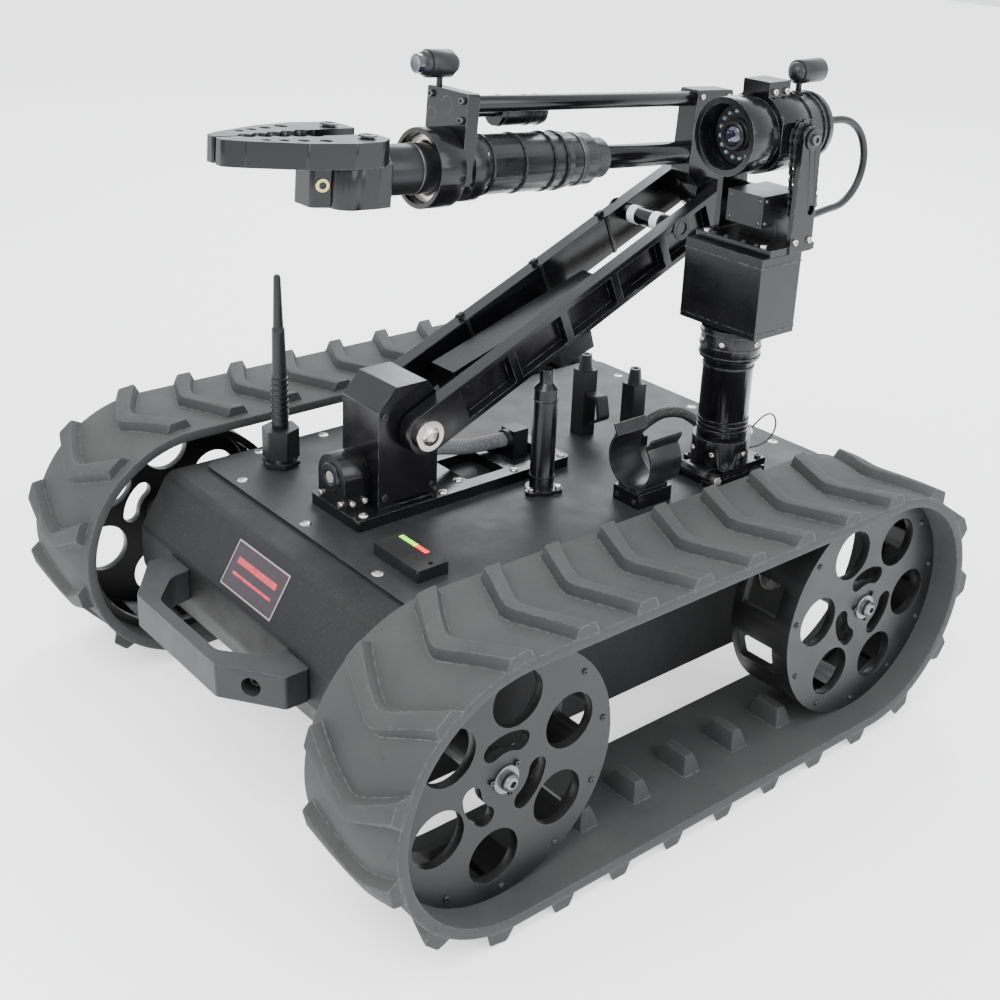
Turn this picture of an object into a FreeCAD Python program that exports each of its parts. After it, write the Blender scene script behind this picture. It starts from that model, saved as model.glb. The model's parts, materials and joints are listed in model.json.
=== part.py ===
import FreeCAD, Part
import math
import os
from FreeCAD import Placement, Rotation, Vector

# Tracked robot with a folding arm, a gripper and a camera mast.
# Millimetres. +X is forward, +Y is left, +Z is up. The origin is on the ground under the middle.

DIMENSIONS = {
    # running gear
    "wheel_radius": 101.2, "wheel_width": 62.0, "wheel_disc": 8.0, "wheel_face": 264.8,
    "axle_radius": 12.0, "axle_height": 120.0, "wheelbase": 406.4,
    "belt_gap": 0.4, "belt_thick": 9.4, "belt_inner": 176.2, "belt_wide": 113.3,
    "cleat_high": 9.0, "cleat_wide": 11.0, "cleat_count": 25,
    "lug_high": 16.0, "lug_long": 20.0, "lug_wide": 34.0,
    # hull and deck
    "hull_wide": 330.0, "hull_wall": 4.0, "hull_top": 204.0, "hull_bottom": 52.0, "deck_thick": 3.0,
    "handle_thick": 28.0, "plate_thick": 10.0,
    # pedestal and drive
    "pedestal_wide": 52.0, "shoulder_x": 109.0, "shoulder_z": 281.0, "shaft_radius": 10.0,
    "worm_drop": 38.5, "worm_offset": -4.0, "worm_radius": 17.5, "worm_wheel": 20.5, "running_gap": 0.05,
    # upper arm
    "arm_length": 380.0, "arm_angle": 23.4, "bar_depth": 38.0, "bar_thick": 14.0, "bar_inner": 28.0,
    "actuator_angle": -5.7, "actuator_drop": 34.0, "actuator_size": 32.0, "rod_radius": 6.0,
    "crank_angle": 25.0,
    # forearm
    "forearm_angle": 3.7, "forearm_rise": 36.0, "elbow_thick": 22.0, "elbow_pin": 8.0,
    "lower_tube": 10.5, "upper_tube": 6.8, "upper_tube_rise": 49.0, "motor_radius": 24.5,
    "collar_radius": 32.0, "wrist_radius": 20.0,
    # gripper
    "jaw_pivot": 402.0, "jaw_spread": 26.0, "jaw_low": 12.0, "jaw_thick": 19.0,
    "jaw_pin": 5.0, "gripper_low": -22.0, "gripper_top": 11.2,
    # mast
    "mast_x": -160.0, "mast_y": 121.5, "mast_radius": 22.2, "mast_hinge_x": -131.0,
    "mast_hinge_z": 214.0, "hinge_pin": 3.0, "pan_low": 348.0, "pan_high": 71.0,
    # camera head
    "tilt_x": -184.0, "tilt_z": 514.0, "sprocket_radius": 10.2, "chain_centres": 60.3,
    "camera_radius": 29.0, "bezel_radius": 32.0,
}

doc = FreeCAD.newDocument("TrackedRobot")
sheet = doc.addObject("Spreadsheet::Sheet", "dims")
for row, (alias, value) in enumerate(DIMENSIONS.items(), start=1):
    sheet.set("A%d" % row, alias)
    sheet.set("B%d" % row, str(value))
    sheet.setAlias("B%d" % row, alias)
doc.recompute()

X, Y, Z = Vector(1, 0, 0), Vector(0, 1, 0), Vector(0, 0, 1)
# Turns a flat outline's first axis to +Y and its second to +Z.
UPRIGHT = Rotation(0.5, 0.5, 0.5, 0.5)
nodes = []


def size(alias):
    """A driving dimension, read back from the sheet."""
    return float(sheet.get(alias))


def bind(piece, **sizes):
    """Set sizes: words are expressions on the sheet, numbers are set as they are."""
    for name, value in sizes.items():
        if isinstance(value, str):
            piece.setExpression(name, value)
        else:
            setattr(piece, name, value)
    return piece


def keep(piece, node):
    """Name a finished sub-part, so that it is written to its own file."""
    piece.Label = node
    nodes.append(piece)
    return piece


def block(corner, length, width, height, frame=Placement()):
    """A box from its lowest corner, in a frame of its own."""
    piece = bind(doc.addObject("Part::Box", "Block"), Length=length, Width=width, Height=height)
    piece.Placement = frame * Placement(Vector(*corner), Rotation())
    return piece


def rod(base, axis, radius, height, frame=Placement()):
    """A cylinder from the centre of its first end, along an axis."""
    piece = bind(doc.addObject("Part::Cylinder", "Rod"), Radius=radius, Height=height)
    piece.Placement = frame * Placement(Vector(*base), Rotation(Z, axis))
    return piece


def cone(base, axis, first, second, height, frame=Placement()):
    """A cone from the centre of its first end, along an axis."""
    piece = bind(doc.addObject("Part::Cone", "Cone"), Radius1=first, Radius2=second, Height=height)
    piece.Placement = frame * Placement(Vector(*base), Rotation(Z, axis))
    return piece


def ball(centre, radius, frame=Placement()):
    """A sphere."""
    piece = bind(doc.addObject("Part::Sphere", "Ball"), Radius=radius)
    piece.Placement = frame * Placement(Vector(*centre), Rotation())
    return piece


def fuse(*parts):
    """Several overlapping solids made into one."""
    piece = doc.addObject("Part::MultiFuse", "Union")
    piece.Shapes = list(parts)
    return piece


def cut(base, *tools):
    """A solid with others taken out of it."""
    for tool in tools:
        piece = doc.addObject("Part::Cut", "Cut")
        piece.Base = base
        piece.Tool = tool
        base = piece
    return base


def group(*parts):
    """Separate solids of one kind, kept in one node."""
    piece = doc.addObject("Part::Compound", "Group")
    piece.Links = list(parts)
    return piece


def outline(corners):
    """A closed outline from its corners (x, y) or, where a corner is rounded, (x, y, radius)."""
    points = [Vector(c[0], c[1], 0) for c in corners]
    radii = [c[2] if len(c) > 2 else 0 for c in corners]
    curves, starts, ends, arcs = [], [], [], []
    for i, point in enumerate(points):
        back = (points[i - 1] - point).normalize()
        ahead = (points[(i + 1) % len(points)] - point).normalize()
        if not radii[i]:
            starts.append(point)
            ends.append(point)
            arcs.append(None)
            continue
        half = back.getAngle(ahead) / 2
        trim = radii[i] / math.tan(half)
        middle = (back + ahead).normalize()
        centre = point + middle * (radii[i] / math.sin(half))
        starts.append(point + back * trim)
        ends.append(point + ahead * trim)
        arcs.append(Part.Arc(starts[-1], centre - middle * radii[i], ends[-1]))
    for i in range(len(points)):
        if arcs[i]:
            curves.append(arcs[i])
        after = (i + 1) % len(points)
        if (starts[after] - ends[i]).Length > 1e-6:
            curves.append(Part.LineSegment(ends[i], starts[after]))
    return curves


def pad(loops, holes, depth, frame=Placement()):
    """A flat outline, with inner loops and round holes (x, y, radius), padded to a depth."""
    body = doc.addObject("PartDesign::Body", "Body")
    sketch = body.newObject("Sketcher::SketchObject", "Outline")
    plane = [f for f in body.Origin.OriginFeatures if f.Role == "XY_Plane"][0]
    sketch.AttachmentSupport = [(plane, "")]
    sketch.MapMode = "FlatFace"
    curves = []
    for loop in loops:
        curves += outline(loop)
    for x, y, radius in holes:
        curves.append(Part.Circle(Vector(x, y, 0), Z, radius))
    sketch.addGeometry(curves, False)
    feature = body.newObject("PartDesign::Pad", "Pad")
    feature.Profile = sketch
    bind(feature, Length=depth)
    body.Placement = frame
    return body


def side_frame(y, frame=Placement()):
    """Stands a flat outline up in the XZ plane; it then pads from y towards the right side."""
    return frame * Placement(Vector(0, y, 0), Rotation(X, 90))


def front_frame(x, frame=Placement()):
    """Stands a flat outline up in the YZ plane; it then pads forward from x."""
    return frame * Placement(Vector(x, 0, 0), UPRIGHT)


def feature(shape):
    """A shape made with Part's own functions, where no primitive or pad fits."""
    piece = doc.addObject("Part::Feature", "Shape")
    piece.Shape = shape
    return piece


def cord_wire(points):
    """Straight runs joined by tangent arcs, each arc as large as its two runs allow."""
    route = [Vector(*p) for p in points]
    edges, last, radii = [], route[0], []
    for before, here, after in zip(route, route[1:], route[2:]):
        back, ahead = (before - here), (after - here)
        shorter = 0.45 * min(back.Length, ahead.Length)
        back.normalize()
        ahead.normalize()
        half = back.getAngle(ahead) / 2
        radius = shorter * math.tan(half)
        middle = (back + ahead).normalize()
        centre = here + middle * (radius / math.sin(half))
        start, end = here + back * shorter, here + ahead * shorter
        edges.append(Part.LineSegment(last, start).toShape())
        edges.append(Part.Arc(start, centre - middle * radius, end).toShape())
        radii.append(radius)
        last = end
    edges.append(Part.LineSegment(last, route[-1]).toShape())
    return Part.Wire(edges), radii


def cord(node, points, radius):
    """A round cord along its route; prints its radii and compares its volume with its length."""
    wire, radii = cord_wire(points)
    start, second = Vector(*points[0]), Vector(*points[1])
    section = Part.Wire([Part.Circle(start, second - start, radius).toShape()])
    tube = wire.makePipeShell([section], True, False)
    expected = math.pi * radius ** 2 * wire.Length
    text = "%s: length %.1f, smallest bend %.1f, volume off by %.2f %%"
    off = 100 * (tube.Volume / expected - 1)
    print(text % (node, wire.Length, min(radii), off))
    return keep(feature(tube), node)


# ---------------------------------------------------------------- running gear

PITCH_RADIUS = size("wheel_radius") + size("belt_gap")
AXLE_X = size("wheelbase") / 2
AXLE_Z = size("axle_height")
BELT_OUTER = PITCH_RADIUS + size("belt_thick")
CLEAT_TIP = BELT_OUTER + size("cleat_high")
BELT_FAR = size("belt_inner") + size("belt_wide")


def stadium(radius, y_low, y_high):
    """A solid belt shape round both axles, out to a radius, between two planes."""
    low = Vector(AXLE_X, y_low, AXLE_Z - radius)
    front = Vector(AXLE_X + radius, y_low, AXLE_Z)
    high = Vector(AXLE_X, y_low, AXLE_Z + radius)
    back = [Vector(-p.x, p.y, p.z) for p in (high, front, low)]
    edges = [
        Part.Arc(low, front, high).toShape(), Part.LineSegment(high, back[0]).toShape(),
        Part.Arc(*back).toShape(), Part.LineSegment(back[2], low).toShape(),
    ]
    return Part.Face(Part.Wire(edges)).extrude(Vector(0, y_high - y_low, 0))


def cleat_outline(side):
    """One V of the tread, lying in the XY plane with its point towards +X."""
    reach, half = 22.0, size("cleat_wide") / 2
    near, far = size("belt_inner") + 10, BELT_FAR - 1
    middle = (near + far) / 2
    line = [(-reach, near), (0, middle), (-reach, far)]
    front = [Vector(x + half, side * y, 0) for x, y in line]
    rear = [Vector(x - half, side * y, 0) for x, y in reversed(line)]
    return Part.Face(Part.makePolygon(front + rear + front[:1]))


def place_on_belt(distance):
    """Where a point of the tread lies: its centre on the path, and its turn about Y.

    Distance is measured along the path from the middle of the upper run, forward.
    """
    half, arc = AXLE_X, math.pi * PITCH_RADIUS
    total = 4 * half + 2 * arc
    distance = (distance + half) % total
    if distance < 2 * half:
        return Vector(distance - half, 0, AXLE_Z), 0.0, True
    distance -= 2 * half
    if distance < arc:
        return Vector(half, 0, AXLE_Z), math.degrees(distance / PITCH_RADIUS), False
    distance -= arc
    if distance < 2 * half:
        return Vector(half - distance, 0, AXLE_Z), 180.0, True
    distance -= 2 * half
    return Vector(-half, 0, AXLE_Z), 180 + math.degrees(distance / PITCH_RADIUS), False


def track(side, node):
    """A rubber belt with V cleats outside and driving lugs inside its two straight runs."""
    y_low, y_high = sorted((side * size("belt_inner"), side * BELT_FAR))
    belt = stadium(BELT_OUTER, y_low, y_high).cut(stadium(PITCH_RADIUS, y_low - 1, y_high + 1))
    tread = stadium(CLEAT_TIP, y_low, y_high).cut(stadium(BELT_OUTER - 1, y_low - 1, y_high + 1))
    count = int(size("cleat_count"))
    pitch = (4 * AXLE_X + 2 * math.pi * PITCH_RADIUS) / count
    cleats, lugs = [], []
    for i in range(count):
        centre, turn, straight = place_on_belt(63.0 + i * pitch)
        rib = cleat_outline(side).extrude(Vector(0, 0, 40))
        rib.translate(Vector(0, 0, BELT_OUTER - 12))
        rib.rotate(Vector(), Y, turn)
        rib.translate(centre)
        cleats.append(rib)
        centre, turn, straight = place_on_belt(44.0 + i * pitch)
        if straight and abs(centre.x) < 0.7 * AXLE_X:
            lug = lug_shape()
            lug.rotate(Vector(), Y, turn)
            lug.translate(centre + Vector(0, side * (size("belt_inner") + BELT_FAR) / 2, 0))
            lugs.append(lug)
    ribs = cleats[0].multiFuse(cleats[1:]).common(tread)
    shape = belt.multiFuse([ribs] + lugs).removeSplitter()
    return keep(feature(shape), node)


def lug_shape():
    """A driving lug under the upper run: a blunt pyramid that points at the wheels."""
    base_z = PITCH_RADIUS + 1
    tip_z = PITCH_RADIUS - size("lug_high")

    def ring(length, width, z):
        corners = [(1, 1), (-1, 1), (-1, -1), (1, -1), (1, 1)]
        return Part.makePolygon([Vector(a * length / 2, b * width / 2, z) for a, b in corners])

    wide = ring(size("lug_long"), size("lug_wide"), base_z)
    narrow = ring(size("lug_long") * 0.5, size("lug_wide") * 0.7, tip_z)
    return Part.makeLoft([wide, narrow], True, True)


def kidney(start, frame):
    """A curved slot round the hub, 50 degrees long, as a solid to cut with."""
    inner, outer, half = 22.0, 38.0, 25.0
    middle, end_radius = (inner + outer) / 2, (outer - inner) / 2
    parts = []
    sector = doc.addObject("Part::Cylinder", "Sector")
    bind(sector, Radius=outer, Height="dims.wheel_disc + 2", Angle=2 * half)
    sector.Placement = frame * Placement(Vector(0, 0, -1), Rotation(Z, start - half))
    core = rod((0, 0, -2), Z, inner, "dims.wheel_disc + 4", frame)
    parts.append(cut(sector, core))
    for angle in (start - half, start + half):
        turn = math.radians(angle)
        end = (middle * math.cos(turn), middle * math.sin(turn), -1)
        parts.append(rod(end, Z, end_radius, "dims.wheel_disc + 2", frame))
    return fuse(*parts)


def wheel(front, side, node):
    """A drum with windows for the lugs, a pierced outer disc, and its axle into the hull."""
    outward = Rotation(X, -90) if side > 0 else Rotation(X, 90)
    inner_face = size("wheel_face") - size("wheel_width")
    axle = Vector(front * AXLE_X, 0, AXLE_Z)
    rim = Placement(axle + Vector(0, side * inner_face, 0), outward)
    disc = Placement(axle + Vector(0, side * (size("wheel_face") - size("wheel_disc")), 0), outward)
    drum = cut(
        rod((0, 0, 0), Z, "dims.wheel_radius", "dims.wheel_width", rim),
        rod((0, 0, -1), Z, "dims.wheel_radius - 7", "dims.wheel_width - dims.wheel_disc + 1", rim),
    )
    windows = []
    for i in range(11):
        turned = rim * Placement(Vector(), Rotation(Z, 360.0 * (i + 0.5) / 11))
        windows.append(block((85, -14, 9), 25, 28, 36, turned))
    phase = 97.4 if front > 0 else 65.7
    holes = []
    for i in range(6):
        turn = math.radians(60 * i - side * phase)
        holes.append(rod((63.7 * math.cos(turn), 63.7 * math.sin(turn), -1), Z, 22.5, 10, disc))
    slots = [kidney(30 + 120 * i, disc) for i in range(3)]
    shell = cut(drum, *(windows + holes + slots))
    hub = rod((0, 0, -8), Z, 17.0, 16, disc)
    length = size("wheel_face") - 150.0
    shaft_base = Placement(axle + Vector(0, side * 150.0, 0), outward)
    shaft = rod((0, 0, 0), Z, "dims.axle_radius", length, shaft_base)
    washer = rod((0, 0, 8), Z, 11.0, 1.6, disc)
    screw = rod((0, 0, 8), Z, 7.0, 6.0, disc)
    return keep(fuse(shell, hub, shaft, washer, screw), node)


SIDES = {"left": 1, "right": -1}
ENDS = {"front": 1, "rear": -1}
for side_name, side in SIDES.items():
    track(side, "track_" + side_name)
    for end_name, end in ENDS.items():
        wheel(end, side, "wheel_%s_%s" % (end_name, side_name))

# ---------------------------------------------------------------- hull and what it holds

HALF_HULL = size("hull_wide") / 2
WALL = size("hull_wall")
DECK_Z = size("hull_top") + size("deck_thick")

HULL_SIDE = [
    (238, 204, 12), (266, 158, 12), (266, 122, 20), (248, 85, 30), (215, 52, 20),
    (-250, 52, 20), (-282, 85, 12), (-282, 180, 12), (-268, 204, 8),
]
HULL_INSIDE = [
    (235, 200, 8), (262, 156, 8), (262, 123, 16), (245, 88, 26), (213, 56, 16),
    (-248, 56, 16), (-278, 87, 8), (-278, 178, 8), (-266, 200, 4),
]


def hull():
    """A bent and welded tub, open under the deck plate, with four bearing bores."""
    tub = pad([HULL_SIDE], [], "dims.hull_wide", side_frame(HALF_HULL))
    inside = pad([HULL_INSIDE], [], "dims.hull_wide - 2 * dims.hull_wall", side_frame(HALF_HULL - WALL))
    hatch = block((-250, -145, 190), 440, 290, 30)
    bores = [
        rod((end * AXLE_X, -HALF_HULL - 1, AXLE_Z), Y, 20.0, "dims.hull_wide + 2")
        for end in ENDS.values()
    ]
    return keep(cut(tub, inside, hatch, *bores), "hull_shell")


hull()

deck = pad(
    [[(207, -158, 14), (207, 158, 14), (-270, 158, 14), (-270, -158, 14)]],
    [], "dims.deck_thick", Placement(Vector(0, 0, size("hull_top")), Rotation()),
)
keep(deck, "deck_plate")


def battery_packs():
    """Two flat packs on the hull floor."""
    packs = [block((-60, side * 85 - 55, WALL + 52), 190, 110, 70) for side in SIDES.values()]
    return keep(group(*packs), "battery_packs")


battery_packs()
keep(block((-160, -70, 56), 80, 140, 90), "controller_case")


def drive_gearmotors():
    """A gearmotor for each rear wheel; its cap fits over the wheel's axle end."""
    parts = []
    for side in SIDES.values():
        cap = rod((-AXLE_X, side * 149.5, AXLE_Z), Vector(0, -side, 0), 24.0, 30.0)
        can = rod((-AXLE_X, side * 119.5, AXLE_Z), Vector(0, -side, 0), 19.0, 85.0)
        foot = block((-AXLE_X - 15, min(side * 60, side * 145), 56), 30, 85, 50)
        parts.append(fuse(cap, can, foot))
    return keep(group(*parts), "drive_gearmotors")


drive_gearmotors()


def axle_bearings():
    """Four flanged bearings in the hull's side walls."""
    parts = []
    for side in SIDES.values():
        for end in ENDS.values():
            axis = Vector(0, side, 0)
            ring = rod((end * AXLE_X, side * 158.0, AXLE_Z), axis, 20.0, 8.0)
            flange = rod((end * AXLE_X, side * HALF_HULL, AXLE_Z), axis, 26.0, 4.0)
            bore = rod((end * AXLE_X, side * 150.0, AXLE_Z), axis, "dims.axle_radius + dims.running_gap", 30.0)
            parts.append(cut(fuse(ring, flange), bore))
    return keep(group(*parts), "axle_bearings")


axle_bearings()


def front_handle():
    """A moulded bridge handle: two wide feet, sloped legs and a straight grip."""
    outer = [(266, 110, 3), (287, 110, 4), (320, 64, 5), (320, -64, 5), (287, -110, 4), (266, -110, 3)]
    inner = [(266, -77, 2), (285, -74, 14), (309, -46, 16), (309, 46, 16), (285, 74, 14), (266, 77, 2)]
    low = Placement(Vector(0, 0, 126), Rotation())
    body = pad([outer + inner], [], "dims.handle_thick", low)
    holes = []
    for side in SIDES.values():
        inward = Vector(-math.cos(math.radians(36)), -side * math.sin(math.radians(36)), 0)
        holes.append(rod((310, side * 92, 140), inward, 8.0, 24.0))
    return keep(cut(body, *holes), "front_handle")


front_handle()

# ---------------------------------------------------------------- deck furniture

LAMP_BOX = (152.0, 70.0)
meter = pad(
    [[(182, 70, 2), (182, 130, 2), (152, 130, 2), (152, 70, 2)]], [(166, 124.5, 2)],
    10.5, Placement(Vector(0, 0, DECK_Z), Rotation()),
)
keep(meter, "charge_meter")


def angled_gland(x, y, towards):
    """A block on the deck with a round outlet that rises at 45 degrees; also the outlet's end."""
    lean = Vector(towards.x, towards.y, towards.Length).normalize()
    foot = block((x - 11, y - 11, DECK_Z), 22, 22, 9)
    outlet = rod((x, y, DECK_Z + 7), lean, 8.0, 10.0)
    return fuse(foot, outlet), Vector(x, y, DECK_Z + 7) + lean * 10.0


def antenna():
    """The deck's cable glands, and a whip that steps down to a thin top."""
    x, y = 152.0, -116.0
    hexagon = [
        (x + 17 * math.cos(math.radians(60 * i + 20)), y + 17 * math.sin(math.radians(60 * i + 20)), 2)
        for i in range(6)
    ]
    nut = pad([hexagon], [], 27.0, Placement(Vector(0, 0, DECK_Z + 9), Rotation()))
    flange = rod((x, y, DECK_Z), Z, 15.0, 9.5)
    first, second = Vector(-140, 30, 0), Vector(-205, 70, 0)
    along = (second - first).normalize()
    outlets = [angled_gland(*pair) for pair in ((-140, 30, along), (-205, 70, -along))]
    sleeve_end = block((-40, -21, DECK_Z), 17, 18, 28)
    keep(group(fuse(nut, flange), outlets[0][0], outlets[1][0], sleeve_end), "cable_glands")
    foot = DECK_Z + 36
    sleeve = cone((x, y, foot), Z, 7.4, 5.6, 92.0)
    whip = cone((x, y, foot + 92), Z, 4.6, 3.2, 45.0)
    keep(fuse(sleeve, whip, ball((x, y, foot + 137), 3.2)), "antenna_whip")


antenna()

base_plate = pad(
    [
        [(172, -37, 5), (172, 35.5, 5), (-58, 35.5, 5), (-58, -37, 5)],
        [(50, -24, 3), (50, 22, 3), (8, 22, 3), (8, -24, 3)],
        [(-2, -24, 3), (-2, 22, 3), (-46, 22, 3), (-46, -24, 3)],
        [(127, 27.5, 2), (127, 32, 2), (93, 32, 2), (93, 27.5, 2)],
    ],
    [], "dims.plate_thick", Placement(Vector(0, 0, DECK_Z), Rotation()),
)
keep(base_plate, "arm_base_plate")
PLATE_Z = DECK_Z + size("plate_thick")

SHOULDER = Vector(size("shoulder_x"), 0, size("shoulder_z"))
WORM_Z = SHOULDER.z - size("worm_drop")
WORM_Y = size("worm_offset")


def pedestal():
    """A thick-walled housing round the worm drive, with sloped front and rear top edges."""
    side = [(146, PLATE_Z, 1), (146, 303, 2), (129, 321, 2), (98, 321, 2), (86, 306, 2), (86, PLATE_Z, 1)]
    half = size("pedestal_wide") / 2
    outer = pad([side], [], "dims.pedestal_wide", side_frame(half))
    room = block((92, WORM_Y - 18, PLATE_Z), 46, 36, WORM_Z + 18 - PLATE_Z)
    wheel_room = rod((SHOULDER.x, WORM_Y - 8, SHOULDER.z), Y, "dims.worm_wheel + 0.5", 16.0)
    shaft = rod((SHOULDER.x, -40, SHOULDER.z), Y, "dims.shaft_radius + dims.running_gap", 80.0)
    worm = rod((130, WORM_Y, WORM_Z), X, "5 + dims.running_gap", 30.0)
    worm_rear = rod((84, WORM_Y, WORM_Z), X, "5 + dims.running_gap", 20.0)
    return keep(cut(outer, room, wheel_room, shaft, worm, worm_rear), "shoulder_pedestal")


pedestal()


def gear_housing():
    """The round-topped housing in front of the pedestal, with two screwed feet."""
    half = 19.5
    arch = rod((146, WORM_Y, WORM_Z), X, half, 26.0)
    legs = block((146, WORM_Y - half, PLATE_Z), 26.0, 2 * half, WORM_Z - PLATE_Z)
    bore = rod((140, WORM_Y, WORM_Z), X, "5 + dims.running_gap", 40.0)
    return keep(cut(fuse(arch, legs), bore), "gear_housing")


gear_housing()

worm_thread = rod((93, WORM_Y, WORM_Z), X, "dims.worm_radius", 44.0)
worm_shaft = rod((88, WORM_Y, WORM_Z), X, 5.0, 85.5)
keep(fuse(worm_thread, worm_shaft), "worm_shaft")


def payload_post():
    """A round post on a three-screw flange, with a narrow locating top."""
    x, y = -3.0, 59.0
    flange = rod((x, y, DECK_Z), Z, 14.0, 4.0)
    ears = [
        rod((x + 13 * math.cos(a), y + 13 * math.sin(a), DECK_Z), Z, 5.5, 4.0)
        for a in (math.radians(10 + 120 * i) for i in range(3))
    ]
    body = rod((x, y, DECK_Z), Z, 10.6, 96.0)
    shoulder = cone((x, y, DECK_Z + 96), Z, 10.6, 6.0, 5.0)
    neck = rod((x, y, DECK_Z + 96), Z, 6.0, 17.0)
    return keep(fuse(flange, body, shoulder, neck, *ears), "payload_post")


payload_post()


def rest_posts():
    """Two square posts with soft hollow tips, and the hook on the taller one."""
    posts = []
    for x, y, top in ((-119, -15, 272), (-160, 10, 257)):
        post = block((x - 8, y - 8, DECK_Z), 16, 16, top - DECK_Z)
        tip = cone((x, y, top), Z, 7.0, 5.2, 15.0)
        socket = rod((x, y, top + 3), Z, 2.6, 15.0)
        posts.append(cut(fuse(post, tip), socket))
    hook_side = [(0, 0), (17, 0, 4), (22, -22, 6), (8, -30), (8, -27), (18, -21, 4), (14, -3, 2), (0, -3)]
    hook = pad([hook_side], [], 13.0, Placement(Vector(-125.5, -7.2, 252), UPRIGHT))
    posts[0] = fuse(posts[0], hook)
    return keep(group(*posts), "rest_posts")


rest_posts()

# ---------------------------------------------------------------- mast foot and clips

MAST = Vector(size("mast_x"), size("mast_y"), 0)
HINGE = Vector(size("mast_hinge_x"), 0, size("mast_hinge_z"))
FOOT_Y = (MAST.y - 24, MAST.y + 24)
NESTED_Z = 246.5


def mast_foot():
    """The fixed leaf of the mast's hinge: a plate with a knuckle at each end."""
    plate = block((-196, FOOT_Y[0], DECK_Z), 65, 48, 6)
    knuckles = []
    for y in (FOOT_Y[0], FOOT_Y[1] - 10):
        knuckles.append(rod((HINGE.x, y, HINGE.z), Y, 6.5, 10.0))
        knuckles.append(block((HINGE.x - 2, y, DECK_Z), 8.5, 10, 6))
    relief = rod((HINGE.x, FOOT_Y[0] + 10, HINGE.z), Y, 7.0, 28.0)
    bore = rod((HINGE.x, FOOT_Y[0] - 1, HINGE.z), Y, "dims.hinge_pin + dims.running_gap", 60.0)
    return keep(cut(fuse(plate, *knuckles), relief, bore), "mast_foot")


mast_foot()
pin_body = rod((HINGE.x, FOOT_Y[0] - 1, HINGE.z), Y, "dims.hinge_pin", 50.0)
pin_head = rod((HINGE.x, FOOT_Y[1], HINGE.z), Y, 4.5, 2.5)
keep(fuse(pin_body, pin_head), "mast_hinge_pin")


def clips():
    """A block with an open spring cradle, into which the folded mast snaps."""
    x_low, long = -84.0, 40.0
    inner, outer = 23.8, 25.8
    block_top = NESTED_Z - outer
    keep(block((x_low, MAST.y - 15.5, DECK_Z), long, 31, block_top - DECK_Z), "clip_block")
    band = cut(
        rod((x_low + 2, MAST.y, NESTED_Z), X, outer, 36.0),
        rod((x_low + 1, MAST.y, NESTED_Z), X, inner, 38.0),
    )
    mouth_half = inner * math.sin(math.radians(45))
    mouth = block((x_low + 1, MAST.y - mouth_half, NESTED_Z + 4), 38, 2 * mouth_half, 30)
    foot = block((x_low + 2, MAST.y - 12, block_top), 36, 24, 2.0)
    lips = []
    for side in SIDES.values():
        lip = block((0, -1, 0), 36, 2, 11)
        lean = Rotation(X, -side * 25)
        at = Vector(x_low + 2, MAST.y + side * (mouth_half + 0.8), NESTED_Z + 16.6)
        lip.Placement = Placement(at, lean)
        lips.append(lip)
    well = rod((x_low, MAST.y, NESTED_Z), X, inner, 40.0)
    band = cut(fuse(band, foot), mouth)
    return keep(cut(fuse(band, *lips), well), "mast_clips")


clips()

# ---------------------------------------------------------------- mast

def mast():
    """A tube in two collars, on a leaf that folds forward about the hinge."""
    leaf_z = HINGE.z + 0.5
    leaf = block((-196, FOOT_Y[0], leaf_z), 56, 48, 6.5)
    knuckle = rod((HINGE.x, FOOT_Y[0] + 10.4, HINGE.z), Y, 6.5, 27.2)
    arm = block((-142, FOOT_Y[0] + 10.4, leaf_z), 11, 27.2, 6)
    bore = rod((HINGE.x, FOOT_Y[0], HINGE.z), Y, "dims.hinge_pin + dims.running_gap", 48.0)
    collar = rod((MAST.x, MAST.y, leaf_z + 6.5), Z, 25.5, 24.0)
    socket = rod((MAST.x, MAST.y, leaf_z + 6.5), Z, "dims.mast_radius", 30.0)
    pin_hole = rod((MAST.x - 30, MAST.y, 238), X, 3.2, 12.0)
    keep(cut(fuse(leaf, knuckle, arm, collar), bore, socket, pin_hole), "mast_collar")
    tube = cut(
        rod((MAST.x, MAST.y, leaf_z + 6.5), Z, "dims.mast_radius", 101.0),
        rod((MAST.x, MAST.y, leaf_z + 6), Z, "dims.mast_radius - 3", 110.0),
        rod((MAST.x - 30, MAST.y, 238), X, 3.2, 14.0),
    )
    head = rod((MAST.x, MAST.y, 320), Z, 26.5, 27.0)
    keep(fuse(tube, head), "mast_tube")
    grip = rod((MAST.x - 38, MAST.y, 238), X, 5.0, 12.0)
    shank = rod((MAST.x - 38, MAST.y, 238), X, 3.0, 20.0)
    keep(fuse(grip, shank), "lock_pin")


mast()

# ---------------------------------------------------------------- pan head

PAN_TOP = size("pan_low") + size("pan_high")
BOX_X = (-189.0, -139.0)
BOX_Y = (MAST.y - 43, MAST.y + 43)


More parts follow.
